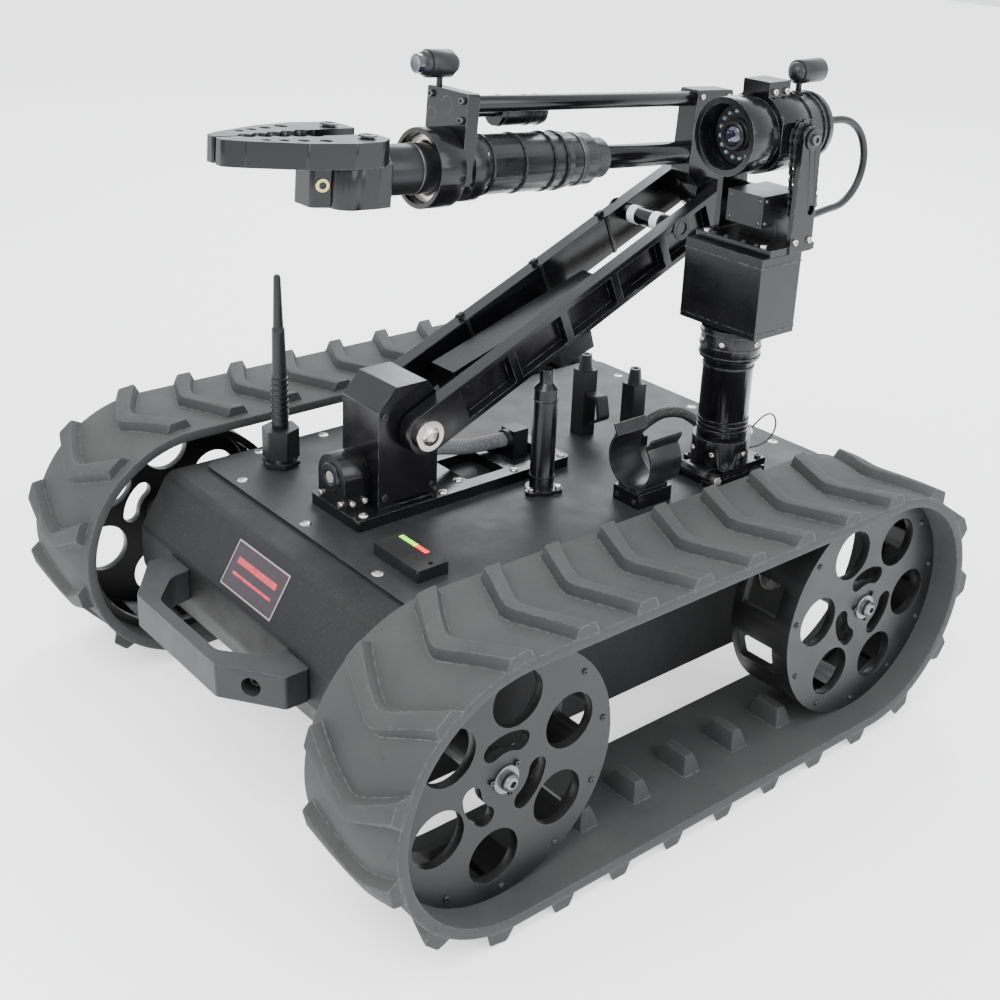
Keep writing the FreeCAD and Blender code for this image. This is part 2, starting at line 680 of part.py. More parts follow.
def pan_head():
    """The pan box, and the yoke that carries the camera and its tilt motor."""
    outer = block((BOX_X[0], BOX_Y[0], size("pan_low")), 50, 86, "dims.pan_high")
    inner = block((BOX_X[0] + 3, BOX_Y[0] + 3, size("pan_low") + 3), 44, 80, "dims.pan_high - 6")
    keep(cut(outer, inner), "pan_box")
    base = block((-204, BOX_Y[0] + 2, PAN_TOP), 56, 84, 6)
    far = block((-200, BOX_Y[0] + 4, PAN_TOP), 32, 6, 95)
    far_top = rod((size("tilt_x"), BOX_Y[0] + 4, size("tilt_z")), Y, 16.0, 6.0)
    near_side = [(-199, PAN_TOP), (-170, PAN_TOP), (-173, 525, 10.5), (-195, 525, 10.5)]
    near = pad([near_side], [], 5.0, side_frame(BOX_Y[1] + 1.5))
    bore = rod((size("tilt_x"), BOX_Y[0] - 5, size("tilt_z")), Y, "6 + dims.running_gap", 110.0)
    motor_bore = rod((MOTOR_X, BOX_Y[1] - 10, MOTOR_Z), Y, "4 + dims.running_gap", 20.0)
    keep(cut(fuse(base, far, far_top, near), bore, motor_bore), "tilt_yoke")
    case = block((-205, 106, MOTOR_Z - 16), 49, 39, 27)
    tail = rod((MOTOR_X, 89, MOTOR_Z), Y, 10.0, 20.0)
    foot = block((-205, 106, PAN_TOP + 6), 30, 39, MOTOR_Z - PAN_TOP - 20)
    bore = rod((MOTOR_X, 130, MOTOR_Z), Y, "4 + dims.running_gap", 20.0)
    keep(cut(fuse(case, tail, foot), bore), "tilt_motor")


CHAIN_LEAN = math.radians(7.6)
MOTOR_X = size("tilt_x") - size("chain_centres") * math.sin(CHAIN_LEAN)
MOTOR_Z = size("tilt_z") - size("chain_centres") * math.cos(CHAIN_LEAN)
CHAIN_Y = 154.0
pan_head()


def chain_loop(radius, y_low, y_high):
    """A solid slot shape round both sprockets."""
    top = Vector(size("tilt_x"), y_low, size("tilt_z"))
    low = Vector(MOTOR_X, y_low, MOTOR_Z)
    along = (top - low).normalize()
    across = Vector(along.z, 0, -along.x)
    edges = [
        Part.Arc(top + across * radius, top + along * radius, top - across * radius).toShape(),
        Part.LineSegment(top - across * radius, low - across * radius).toShape(),
        Part.Arc(low - across * radius, low - along * radius, low + across * radius).toShape(),
        Part.LineSegment(low + across * radius, top + across * radius).toShape(),
    ]
    return Part.Face(Part.Wire(edges)).extrude(Vector(0, y_high - y_low, 0))


chain = chain_loop(16.2, CHAIN_Y, CHAIN_Y + 6).cut(chain_loop(10.6, CHAIN_Y - 1, CHAIN_Y + 7))
keep(feature(chain), "tilt_chain")
motor_stub = rod((MOTOR_X, 132, MOTOR_Z), Y, 4.0, 28.0)
motor_wheel = rod((MOTOR_X, CHAIN_Y, MOTOR_Z), Y, "dims.sprocket_radius", 6.0)
keep(fuse(motor_stub, motor_wheel), "motor_sprocket")


def camera():
    """The camera barrel with its bezel and clamp, its glass, and the small camera behind."""
    z = size("tilt_z")
    barrel = rod((-230, MAST.y, z), X, "dims.camera_radius", 92.0)
    bezel = rod((-150, MAST.y, z), X, "dims.bezel_radius", 24.0)
    clamp = cut(
        rod((-192, MAST.y, z), X, 34.0, 32.0),
        block((-193, MAST.y + 31.5, z - 40), 34, 10, 80),
        block((-193, MAST.y - 41.5, z - 40), 34, 10, 80),
    )
    boss = block((-186, MAST.y - 14, z + 20), 26, 28, 23)
    stem_seat = rod((-214, MAST.y, z + 20), Z, 5.0, 10.0)
    recess = rod((-148, MAST.y, z), X, 27.0, 30.0)
    tail = cone((-230, MAST.y, z), Vector(-1, 0, 0), 26.0, 12.0, 6.0)
    stem = rod((-214, MAST.y, z + 30), Z, 2.5, 10.0)
    small = rod((-238, MAST.y, z + 46), X, 10.0, 28.0)
    cap = ball((-212, MAST.y, z + 46), 9.0)
    keep(cut(fuse(barrel, bezel, clamp, boss, stem_seat, tail), recess), "camera_body")
    keep(fuse(stem, small, cap), "rear_camera")
    glass = rod((-148, MAST.y, z), X, 26.9, 3.0)
    lens = rod((-145, MAST.y, z), X, 10.5, 10.0)
    keep(fuse(glass, lens), "camera_lens")
    shafts = [
        rod((size("tilt_x"), 79.0, z), Y, 6.0, MAST.y - 31.5 - 79.0),
        rod((size("tilt_x"), CHAIN_Y, z), Y, "dims.sprocket_radius", 6.0),
        rod((size("tilt_x"), MAST.y + 31.5, z), Y, 6.0, 15.0),
    ]
    sprocket = fuse(shafts[1], shafts[2])
    keep(group(shafts[0], sprocket), "tilt_shafts")


camera()

# ---------------------------------------------------------------- upper arm

ARM = Placement(SHOULDER, Rotation(Y, size("arm_angle")))
LENGTH = size("arm_length")


def arm_bar(side, node, pockets):
    """One of the two bars: rounded ends on the shoulder shaft and on the elbow pin."""
    half = size("bar_depth") / 2
    shape = [
        (18, -half, half - 1), (18, half, half - 1),
        (-LENGTH - 16, half, half - 3), (-LENGTH - 16, -half, half - 3),
    ]
    outer_y = side * size("bar_inner") + (size("bar_thick") if side > 0 else 0)
    bar = pad([shape], [], "dims.bar_thick", side_frame(outer_y, ARM))
    tools = [
        rod((0, -60, 0), Y, "dims.shaft_radius", 120.0, ARM),
        rod((-LENGTH, -60, 0), Y, "dims.elbow_pin", 120.0, ARM),
        rod((-310, -60, 10), Y, 6.0, 120.0, ARM),
    ]
    if pockets:
        for i in range(5):
            x = -38 - 62 * (i + 1)
            tools.append(block((x + 4, side * 33, -14), 54, 15, 28, ARM))
    return keep(cut(bar, *tools), node)


arm_bar(1, "arm_bar_left", True)
arm_bar(-1, "arm_bar_right", False)


def cross_rods():
    """The elbow pin with its spacers, and the round rod that ties the two bars."""
    pin = rod((-LENGTH, -46, 0), Y, "dims.elbow_pin", 92.0, ARM)
    spacers = [
        rod((-LENGTH, side * 11.5 if side > 0 else -27.9, 0), Y, 13.0, 16.4, ARM)
        for side in SIDES.values()
    ]
    tie = rod((-310, -42, 10), Y, 6.0, 84.0, ARM)
    sleeve = rod((-310, -27.9, 10), Y, 8.0, 55.8, ARM)
    return keep(group(fuse(pin, *spacers), fuse(tie, sleeve)), "arm_cross_rods")


cross_rods()


def shoulder_shaft():
    """The shoulder shaft, its big head outside the left bar, and the worm wheel on it."""
    shaft = rod((0, -46, 0), Y, "dims.shaft_radius", 92.0, ARM)
    head = rod((0, 42, 0), Y, 13.0, 5.0, ARM)
    wheel_disc = rod((0, WORM_Y - 7, 0), Y, "dims.worm_wheel", 14.0, ARM)
    return keep(fuse(shaft, head, wheel_disc), "shoulder_shaft")


shoulder_shaft()

# The actuator lies between the bars. Its frame has the elbow's axis as origin, and the rod moves along X.
ACTUATOR = ARM * Placement(Vector(-LENGTH, 0, 0), Rotation(Y, size("actuator_angle")))
DROP = size("actuator_drop")


def actuator():
    """The motor and screw housing, hung on two cross straps, and the rod that turns the elbow."""
    half = size("actuator_size") / 2
    body = block((145, -half + 1, -DROP - half), 178, "dims.actuator_size - 2", "dims.actuator_size", ACTUATOR)
    motor = block((172, -half + 1, -DROP - half - 26), 40, "dims.actuator_size - 2", 28, ACTUATOR)
    bore = rod((140, 0, -DROP), X, "dims.rod_radius + dims.running_gap", 130.0, ACTUATOR)
    straps = [
        block((x, -27.9, -DROP - 6), 10, 55.8, 12, ACTUATOR) for x in (180, 305)
    ]
    keep(cut(fuse(body, motor, *straps), bore), "actuator_body")
    pin_x = -DROP * math.tan(math.radians(size("crank_angle")))
    shank = rod((pin_x + 30, 0, -DROP), X, "dims.rod_radius", 200.0, ACTUATOR)
    root = block((pin_x + 22, -12.5, -DROP - 9), 9, 25, 18, ACTUATOR)
    cheeks = []
    for side in SIDES.values():
        y = 7.5 if side > 0 else -12.5
        cheeks.append(rod((pin_x, y, -DROP), Y, 9.0, 5.0, ACTUATOR))
        cheeks.append(block((pin_x, y, -DROP - 9), 23, 5, 18, ACTUATOR))
    pin = rod((pin_x, -13.5, -DROP), Y, 4.0, 27.0, ACTUATOR)
    keep(fuse(shank, root, pin, *cheeks), "actuator_rod")


actuator()

# ---------------------------------------------------------------- forearm

ELBOW = ARM.multVec(Vector(-LENGTH, 0, 0))
TILT = Rotation(Y, -size("forearm_angle"))
FOREARM = Placement(ELBOW - TILT.multVec(Vector(0, 0, -size("forearm_rise"))), TILT)
CRANK = ACTUATOR * Placement(Vector(), Rotation(Y, size("crank_angle")))
RISE = size("forearm_rise")


def elbow_block():
    """The block that both forearm tubes enter, its eye on the elbow pin, and its slotted crank."""
    half = size("elbow_thick") / 2
    side = [(-14, -18, 3), (-14, 58, 3), (33, 58, 3), (33, -18, 6), (19, -30, 4), (-19, -30, 4)]
    main = pad([side], [], "dims.elbow_thick", side_frame(half, FOREARM))
    eye = rod((0, -half, -RISE), Y, 19.0, "dims.elbow_thick", FOREARM)
    crank = pad(
        [[(10, 0), (10, -52, 9.5), (-10, -52, 9.5), (-10, 0)]], [], 13.0, side_frame(6.5, CRANK)
    )
    slot = pad(
        [[(5.7, -28, 5.6), (5.7, -47.5, 5.6), (-5.7, -47.5, 5.6), (-5.7, -28, 5.6)]],
        [], 20.0, side_frame(10, CRANK),
    )
    tools = [
        rod((0, -20, -RISE), Y, "dims.elbow_pin + dims.running_gap", 40.0, FOREARM),
        rod((0, 0, 0), X, "dims.lower_tube", 40.0, FOREARM),
        rod((0, 0, size("upper_tube_rise")), X, "dims.upper_tube", 40.0, FOREARM),
        slot,
    ]
    return keep(cut(fuse(main, eye, crank), *tools), "elbow_block")


elbow_block()


def forearm():
    """Tubes, wrist motor, gripper motor, the bracket that ties them, and the bearing collar."""
    lower = rod((0, 0, 0), X, "dims.lower_tube", 140.0, FOREARM)
    upper = rod((0, 0, size("upper_tube_rise")), X, "dims.upper_tube", 310.0, FOREARM)
    keep(group(lower, upper), "forearm_tubes")
    motor = [
        rod((140, 0, 0), X, 17.5, 26.0, FOREARM),
        rod((158, 0, 0), X, 22.5, 34.0, FOREARM),
        rod((188, 0, 0), X, "dims.motor_radius", 98.0, FOREARM),
        rod((284, 0, 0), X, 28.5, 14.0, FOREARM),
    ]
    keep(fuse(*motor), "wrist_motor")
    gearbox = rod((196, -19, 40), X, 12.5, 50.0, FOREARM)
    nose = rod((246, -19, 40), X, 5.0, 64.0, FOREARM)
    keep(fuse(gearbox, nose), "gripper_motor")
    plate = pad(
        [[(26, -20, 12), (26, 61, 2), (-26, 61, 2), (-26, -20, 12)]],
        [(0, size("upper_tube_rise"), size("upper_tube")), (-19, 40, 5.0)], 12.0, front_frame(298, FOREARM),
    )
    keep(cut(plate, rod((290, 0, 0), X, 20.5, 30.0, FOREARM)), "wrist_bracket")
    ring = cut(
        rod((310, 0, 0), X, "dims.collar_radius", 25.0, FOREARM),
        rod((322, 0, 0), X, "dims.collar_radius - 4", 20.0, FOREARM),
        rod((300, 0, 0), X, "dims.wrist_radius + dims.running_gap", 40.0, FOREARM),
    )
    keep(ring, "bearing_collar")
    stem = rod((308, -14, 61), Z, 2.5, 10.0, FOREARM)
    case = rod((300, -14, 79), X, 11.0, 22.0, FOREARM)
    ends = [ball((322, -14, 79), 10.0, FOREARM), ball((300, -14, 79), 9.0, FOREARM)]
    keep(fuse(stem, case, *ends), "arm_camera")


forearm()

# ---------------------------------------------------------------- wrist and gripper

keep(rod((312, 0, 0), X, "dims.wrist_radius", 66.0, FOREARM), "wrist_shaft")
LOW = size("gripper_low")
PIVOT = (size("jaw_pivot"), size("jaw_spread"))


def gripper_housing():
    """A housing that narrows forward, with a round boss and a fixed pin under each jaw."""
    plan = [
        (378, -29, 3), (378, 29, 3), (392, 31, 6), (408, 31, 8), (422, 18, 5), (440, 12, 4),
        (440, -12, 4), (422, -18, 5), (408, -31, 8), (392, -31, 6),
    ]
    height = "dims.gripper_top - dims.gripper_low"
    low = FOREARM * Placement(Vector(0, 0, LOW), Rotation())
    parts = [pad([plan], [], height, low)]
    for side in SIDES.values():
        parts.append(rod((412, side * 17, LOW), Z, 14.0, height, FOREARM))
        parts.append(rod((PIVOT[0], side * PIVOT[1], 0), Z, "dims.jaw_pin", 33.0, FOREARM))
    return keep(fuse(*parts), "gripper_housing")


gripper_housing()


def jaw(side, node):
    """A thick flat finger with a scalloped inner edge and a row of round holes."""
    plan = [
        (386, 13, 2), (386, 33, 4), (398, 43, 6), (424, 46, 8), (460, 38, 14), (500, 20, 10),
        (514, 11, 4), (514, 1.5, 2), (494, 1.5, 2), (424, 12.5, 12),
    ]
    if side < 0:
        plan = [(c[0], -c[1]) + tuple(c[2:]) for c in reversed(plan)]
    bore = size("jaw_pin") + size("running_gap")
    holes = [(PIVOT[0], side * PIVOT[1], bore)]
    for i, x in enumerate((441, 457, 471, 483)):
        holes.append((x, side * (31 - 4 * i), 5.0 - 0.5 * i))
    low = FOREARM * Placement(Vector(0, 0, size("jaw_low")), Rotation())
    finger = pad([plan], holes, "dims.jaw_thick", low)
    scallops = []
    for i in range(5):
        x = 436 + 13 * i
        y = side * (12.5 - 11 * (x - 424) / 70 - 2)
        scallops.append(rod((x, y, 0), Z, 6.2, 40.0, FOREARM))
    return keep(cut(finger, *scallops), node)


jaw(1, "jaw_left")
jaw(-1, "jaw_right")

# ---------------------------------------------------------------- fasteners

def fasteners():
    """Screw heads of the deck, the base plate, the post, the clips and the handle."""
    heads = []
    deck_places = [
        (197, -106), (197, -4), (197, 99), (154, -150), (86, -150), (20, -150), (-120, -150),
        (-255, -106), (-255, 106), (-255, 0), (-120, 152), (-60, 152), (20, 152), (100, 152),
    ]
    for x, y in deck_places:
        heads.append(cone((x, y, DECK_Z), Z, 5.0, 4.0, 1.2))
    for x, y in ((162, 28), (82, 30), (-52, 29), (-52, -30), (162, -30), (3, 29), (3, -31), (57, 18)):
        heads.append(rod((x, y, PLATE_Z), Z, 4.2, 2.0))
    return keep(group(*heads), "screws")


fasteners()

# ---------------------------------------------------------------- cords held by the robot

cord(
    "cable_sleeve",
    [(85.0, -8, 242), (66, -9, 240.5), (46, -13, 234.5), (25, -16, 227.5), (2, -15.5, 225.3), (-21.6, -12, 226)],
    7.0,
)
cord(
    "mast_cable",
    [(-146.1, 33.75, 221.2), (-157.3, 40.65, 234.3), (-172.5, 50, 239.2), (-187.7, 59.35, 234.3),
     (-198.9, 66.25, 221.2)],
    5.0,
)
cord(
    "camera_lead",
    [(-236.3, 121.5, 514), (-261, 121.7, 515.2), (-287.4, 122.5, 514), (-307.4, 123.5, 499.5),
     (-315, 124.5, 476), (-307.4, 125.3, 452.5), (-287.4, 126, 438), (-264, 126.5, 436.5),
     (-234, 127, 432.6), (-205.3, 127.2, 431)],
    3.4,
)
cord(
    "lock_pin_lanyard",
    [(-198.3, 121.5, 238), (-207, 121.2, 243), (-219, 120.6, 248), (-231, 119.6, 247),
     (-240, 118.4, 238), (-241.5, 117.6, 227), (-234, 117, 218.5), (-223, 116.6, 215.5),
     (-209, 116.2, 216.5), (-196.3, 116, 218)],
    0.8,
)

# ---------------------------------------------------------------- checks and files

doc.recompute()
for item in doc.Objects:
    if "Invalid" in item.State or "Error" in item.State:
        raise RuntimeError("%s (%s) failed: %s" % (item.Name, item.Label, item.State))
labels = [piece.Label for piece in nodes]
if len(set(labels)) != len(labels):
    raise RuntimeError("two sub-parts share a name")
os.makedirs("parts", exist_ok=True)
for piece in nodes:
    shape = piece.Shape
    if shape.isNull() or not shape.isValid() or shape.Volume <= 0:
        raise RuntimeError("%s has no valid shape" % piece.Label)
    shape.exportStep("parts/%s.step" % piece.Label)
print(len(nodes), "sub-parts written")
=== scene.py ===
import json
import math

import bmesh
import bpy
from mathutils import Matrix, Vector


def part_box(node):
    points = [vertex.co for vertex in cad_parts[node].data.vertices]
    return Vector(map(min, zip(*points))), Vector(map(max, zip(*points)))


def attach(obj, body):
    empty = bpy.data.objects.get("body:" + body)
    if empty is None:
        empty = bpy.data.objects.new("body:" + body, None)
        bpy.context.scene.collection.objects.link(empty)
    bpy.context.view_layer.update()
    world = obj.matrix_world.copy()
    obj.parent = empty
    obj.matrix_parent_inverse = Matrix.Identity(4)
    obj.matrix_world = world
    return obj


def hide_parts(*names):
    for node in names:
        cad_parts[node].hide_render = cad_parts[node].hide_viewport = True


# Looks of a tracked robot with a folding arm, a gripper and a camera mast. Metres; +X forward, +Z up.

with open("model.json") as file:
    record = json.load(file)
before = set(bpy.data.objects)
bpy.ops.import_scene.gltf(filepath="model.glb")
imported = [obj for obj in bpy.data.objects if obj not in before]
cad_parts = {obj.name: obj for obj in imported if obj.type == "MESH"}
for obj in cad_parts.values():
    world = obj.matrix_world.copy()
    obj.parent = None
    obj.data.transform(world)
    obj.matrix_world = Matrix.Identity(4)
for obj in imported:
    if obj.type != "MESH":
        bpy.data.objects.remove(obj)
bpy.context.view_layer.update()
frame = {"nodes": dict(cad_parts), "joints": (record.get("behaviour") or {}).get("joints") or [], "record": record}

MM = 0.001
JOINTS = {joint["name"]: joint for joint in frame["joints"]}
SIDES = {"left": 1, "right": -1}
HEX = 6


# ---------------------------------------------------------------- camera, light and floor

def add_camera():
    """A three-quarter view from the front left, a little above the deck."""
    data = bpy.data.cameras.new("camera")
    camera = bpy.data.objects.new("camera", data)
    bpy.context.scene.collection.objects.link(camera)
    heading, pitch, roll = math.radians(-130.12), math.radians(-21.82), math.radians(2.17)
    turn = Matrix.Rotation(heading - math.pi / 2, 4, "Z")
    tip = Matrix.Rotation(math.pi / 2 + pitch, 4, "X")
    place = Matrix.Translation((0.7461, 0.8839, 0.7358))
    camera.matrix_world = place @ turn @ tip @ Matrix.Rotation(roll, 4, "Z")
    data.lens = 50.92
    data.sensor_width = 36.0
    data.shift_x = 0.0031
    data.shift_y = -0.1002
    data.clip_start = 0.01
    bpy.context.scene.camera = camera


def add_light(name, place, target, size, power, colour=(1, 1, 1)):
    """A square soft box that faces a target."""
    data = bpy.data.lights.new(name, "AREA")
    data.size = size
    data.energy = power
    data.color = colour
    lamp = bpy.data.objects.new(name, data)
    bpy.context.scene.collection.objects.link(lamp)
    lamp.location = place
    lamp.rotation_euler = (Vector(target) - Vector(place)).to_track_quat("-Z", "Y").to_euler()


def add_floor():
    """A plain pale floor."""
    half = 6.0
    corners = [(-half, -half, 0), (half, -half, 0), (half, half, 0), (-half, half, 0)]
    mesh = bpy.data.meshes.new("floor")
    mesh.from_pydata(corners, [], [(0, 1, 2, 3)])
    floor = bpy.data.objects.new("floor", mesh)
    bpy.context.scene.collection.objects.link(floor)
    paint = bpy.data.materials.new("floor_paint")
    paint.use_nodes = True
    shader = paint.node_tree.nodes["Principled BSDF"]
    shader.inputs["Base Color"].default_value = (0.97, 0.97, 0.97, 1)
    shader.inputs["Roughness"].default_value = 0.9
    shader.inputs["Emission Color"].default_value = (1, 1, 1, 1)
    shader.inputs["Emission Strength"].default_value = 0.9
    mesh.materials.append(paint)


def add_world():
    """An even, bright white surround."""
    world = bpy.data.worlds.new("surround")
    bpy.context.scene.world = world
    world.use_nodes = True
    background = world.node_tree.nodes["Background"]
    background.inputs["Color"].default_value = (0.96, 0.98, 1.0, 1)
    background.inputs["Strength"].default_value = 1.9


# ---------------------------------------------------------------- materials

class Recipe:
    """A material and short ways to add nodes to it."""

    def __init__(self, name, rough=0.5, metal=0.0):
        self.material = bpy.data.materials.new(name)
        self.material.use_nodes = True
        self.tree = self.material.node_tree
        self.shader = self.tree.nodes["Principled BSDF"]
        self.shader.inputs["Roughness"].default_value = rough
        self.shader.inputs["Metallic"].default_value = metal
        self.place = self.node("ShaderNodeTexCoord").outputs["Object"]

    def node(self, kind, inputs=None, **settings):
        """Adds a node; an input is a socket to link or a plain value."""
        made = self.tree.nodes.new(kind)
        for name, value in settings.items():
            setattr(made, name, value)
        for name, value in (inputs or {}).items():
            if isinstance(value, bpy.types.NodeSocket):
                self.tree.links.new(value, made.inputs[name])
            else:
                made.inputs[name].default_value = value
        return made

    def noise(self, size, detail=3.0, rough=0.55):
        """Noise of a feature size in metres."""
        inputs = {"Vector": self.place, "Scale": 1 / size, "Detail": detail, "Roughness": rough}
        return self.node("ShaderNodeTexNoise", inputs).outputs["Fac"]

    def span(self, value, low, high, to_low=0.0, to_high=1.0):
        """Maps a stretch of values to another."""
        inputs = {"Value": value, "From Min": low, "From Max": high, "To Min": to_low, "To Max": to_high}
        return self.node("ShaderNodeMapRange", inputs, clamp=True).outputs["Result"]

    def times(self, first, second):
        """The product of two values."""
        return self.node("ShaderNodeMath", {0: first, 1: second}, operation="MULTIPLY").outputs[0]

    def mix(self, factor, first, second):
        """Mixes two colours."""
        inputs = {0: factor, 6: rgba(first), 7: rgba(second)}
        return self.node("ShaderNodeMix", inputs, data_type="RGBA").outputs[2]

    def blend(self, factor, first, second):
        """Mixes two numbers."""
        return self.node("ShaderNodeMix", {0: factor, 2: first, 3: second}).outputs[0]

    def edges(self, width):
        """1 along sharp edges and 0 on flat faces."""
        rounded = self.node("ShaderNodeBevel", {"Radius": width}, samples=4).outputs["Normal"]
        flat = self.node("ShaderNodeNewGeometry").outputs["Normal"]
        dot = self.node("ShaderNodeVectorMath", {0: rounded, 1: flat}, operation="DOT_PRODUCT")
        return self.span(dot.outputs["Value"], 0.995, 0.90)

    def upward(self):
        """1 on faces that look up."""
        normal = self.node("ShaderNodeNewGeometry").outputs["Normal"]
        height = self.node("ShaderNodeSeparateXYZ", {0: normal}).outputs["Z"]
        return self.span(height, 0.35, 0.95)

    def bump(self, height, depth, strength=1.0):
        """A bump of a depth in metres."""
        inputs = {"Height": height, "Distance": depth, "Strength": strength}
        normal = self.node("ShaderNodeBump", inputs).outputs["Normal"]
        self.tree.links.new(normal, self.shader.inputs["Normal"])

    def set(self, name, value):
        """Links a socket to one of the shader's inputs, or sets it."""
        if isinstance(value, bpy.types.NodeSocket):
            self.tree.links.new(value, self.shader.inputs[name])
        else:
            self.shader.inputs[name].default_value = value
        return self


def rgba(colour):
    """A colour with its alpha; a socket stays as it is."""
    if isinstance(colour, bpy.types.NodeSocket):
        return colour
    return (colour[0], colour[1], colour[2], 1.0)


def scaled(colour, factor):
    """A lighter or darker colour."""
    return tuple(min(1.0, part * factor) for part in colour)


def finish_of(name, colour, rough, metal=0.0, mottle=0.25, patch=0.03, grain=0.0006, depth=0.00004,
              worn=None, worn_width=0.0007, dust=0.0, speckle=None, coat=0.0, shine=0.35):
    """A general finish: uneven colour, fine grain, worn edges, settled dust and speckles."""
    recipe = Recipe(name, rough, metal)
    large = recipe.noise(patch, 5.0, 0.6)
    tone = recipe.span(large, 0.3, 0.7)
    colours = recipe.mix(tone, scaled(colour, 1 - mottle), scaled(colour, 1 + mottle))
    roughness = recipe.span(large, 0.3, 0.7, rough - 0.07, rough + 0.07)
    fine = recipe.noise(grain, 2.0, 0.5)
    if speckle:
        spots = recipe.span(recipe.noise(0.0016, 1.0), 0.63, 0.70)
        colours = recipe.mix(spots, colours, speckle)
    if dust:
        settled = recipe.times(recipe.upward(), recipe.span(recipe.noise(0.05, 6.0, 0.7), 0.35, 0.75, 0.2, 1))
        settled = recipe.times(settled, dust)
        colours = recipe.mix(settled, colours, (0.27, 0.265, 0.255))
        roughness = recipe.blend(settled, roughness, 0.9)
    if worn:
        rubbed = recipe.times(recipe.edges(worn_width), recipe.span(recipe.noise(0.006, 4.0), 0.42, 0.62, 0.15, 1))
        colours = recipe.mix(rubbed, colours, worn)
        roughness = recipe.blend(rubbed, roughness, 0.35)
    recipe.set("Base Color", colours)
    recipe.set("Roughness", roughness)
    recipe.set("Coat Weight", coat)
    recipe.set("Specular IOR Level", shine)
    recipe.bump(fine, depth)
    return recipe.material


def make_finishes():
    """Every finish of the robot, by the record's slot or by a name of its own."""
    bare = (0.30, 0.31, 0.33)
    return {
        "hull_powder": finish_of("hull_powder", (0.0065, 0.0065, 0.007), 0.62, grain=0.0011, depth=0.00012,
                                 speckle=(0.018, 0.018, 0.0185), dust=0.04, worn=(0.05, 0.05, 0.053), shine=0.3),
        "deck_powder": finish_of("deck_powder", (0.009, 0.0095, 0.0105), 0.47, grain=0.0012, depth=0.00008,
                                 mottle=0.3, speckle=(0.022, 0.022, 0.022), dust=0.06,
                                 worn=(0.06, 0.06, 0.06), shine=0.35),
        "black_anodised": finish_of("black_anodised", (0.003, 0.003, 0.0036), 0.2, mottle=0.2,
                                    grain=0.0004, depth=0.00001, worn=bare, worn_width=0.0003, dust=0.015),
        "motor_black": finish_of("motor_black", (0.0035, 0.0035, 0.0042), 0.28, grain=0.0005, depth=0.00002,
                                 worn=(0.08, 0.08, 0.085), dust=0.015),
        "track_rubber": tread_rubber(),
        "wheel_plastic": finish_of("wheel_plastic", (0.0055, 0.0055, 0.006), 0.42, mottle=0.35, grain=0.0008,
                                   depth=0.00003, worn=(0.07, 0.07, 0.07), dust=0.05),
        "handle_plastic": finish_of("handle_plastic", (0.014, 0.015, 0.017), 0.5, grain=0.0009,
                                    depth=0.00010, worn=(0.09, 0.09, 0.09), dust=0.08),
        "antenna_plastic": finish_of("antenna_plastic", (0.006, 0.0064, 0.0068), 0.38, depth=0.00003, dust=0.05),
        "bright_steel": finish_of("bright_steel", (0.60, 0.58, 0.54), 0.26, metal=1.0, mottle=0.12,
                                  grain=0.0003, depth=0.000008),
        "black_steel": finish_of("black_steel", (0.022, 0.022, 0.024), 0.32, metal=0.6, worn=(0.2, 0.2, 0.2)),
        "soft_rubber": finish_of("soft_rubber", (0.008, 0.008, 0.009), 0.36, depth=0.00002, dust=0.05),
        "battery_case": finish_of("battery_case", (0.03, 0.04, 0.09), 0.4),
        "controller_aluminium": finish_of("controller_aluminium", (0.5, 0.5, 0.52), 0.4, metal=1.0),
        "meter_case": finish_of("meter_case", (0.010, 0.010, 0.011), 0.28, depth=0.00001, dust=0.08),
        "sleeve_braid": braid("sleeve_braid", (0.24, 0.245, 0.26), (0.08, 0.08, 0.085), 0.0028),
        "black_braid": braid("black_braid", (0.030, 0.030, 0.031), (0.13, 0.13, 0.125), 0.0022),
        "hub_steel": finish_of("hub_steel", (0.16, 0.16, 0.165), 0.34, metal=0.9, mottle=0.2),
        "dull_steel": finish_of("dull_steel", (0.10, 0.10, 0.105), 0.36, metal=0.9, mottle=0.3),
        "brass": finish_of("brass", (0.55, 0.42, 0.20), 0.3, metal=1.0, mottle=0.15),
        "white_tape": finish_of("white_tape", (0.75, 0.76, 0.78), 0.5, mottle=0.06),
        "label_ground": finish_of("label_ground", (0.016, 0.008, 0.014), 0.35, mottle=0.4, patch=0.008, coat=0.3),
        "label_edge": finish_of("label_edge", (0.30, 0.24, 0.26), 0.4, mottle=0.15),
        "label_red": finish_of("label_red", (0.50, 0.04, 0.055), 0.4, mottle=0.3, patch=0.004),
        "yellow": finish_of("yellow", (0.55, 0.40, 0.04), 0.5, mottle=0.1),
        "lens_glass": lens_glass(),
        "lamp_dome": lamp_dome(),
    }


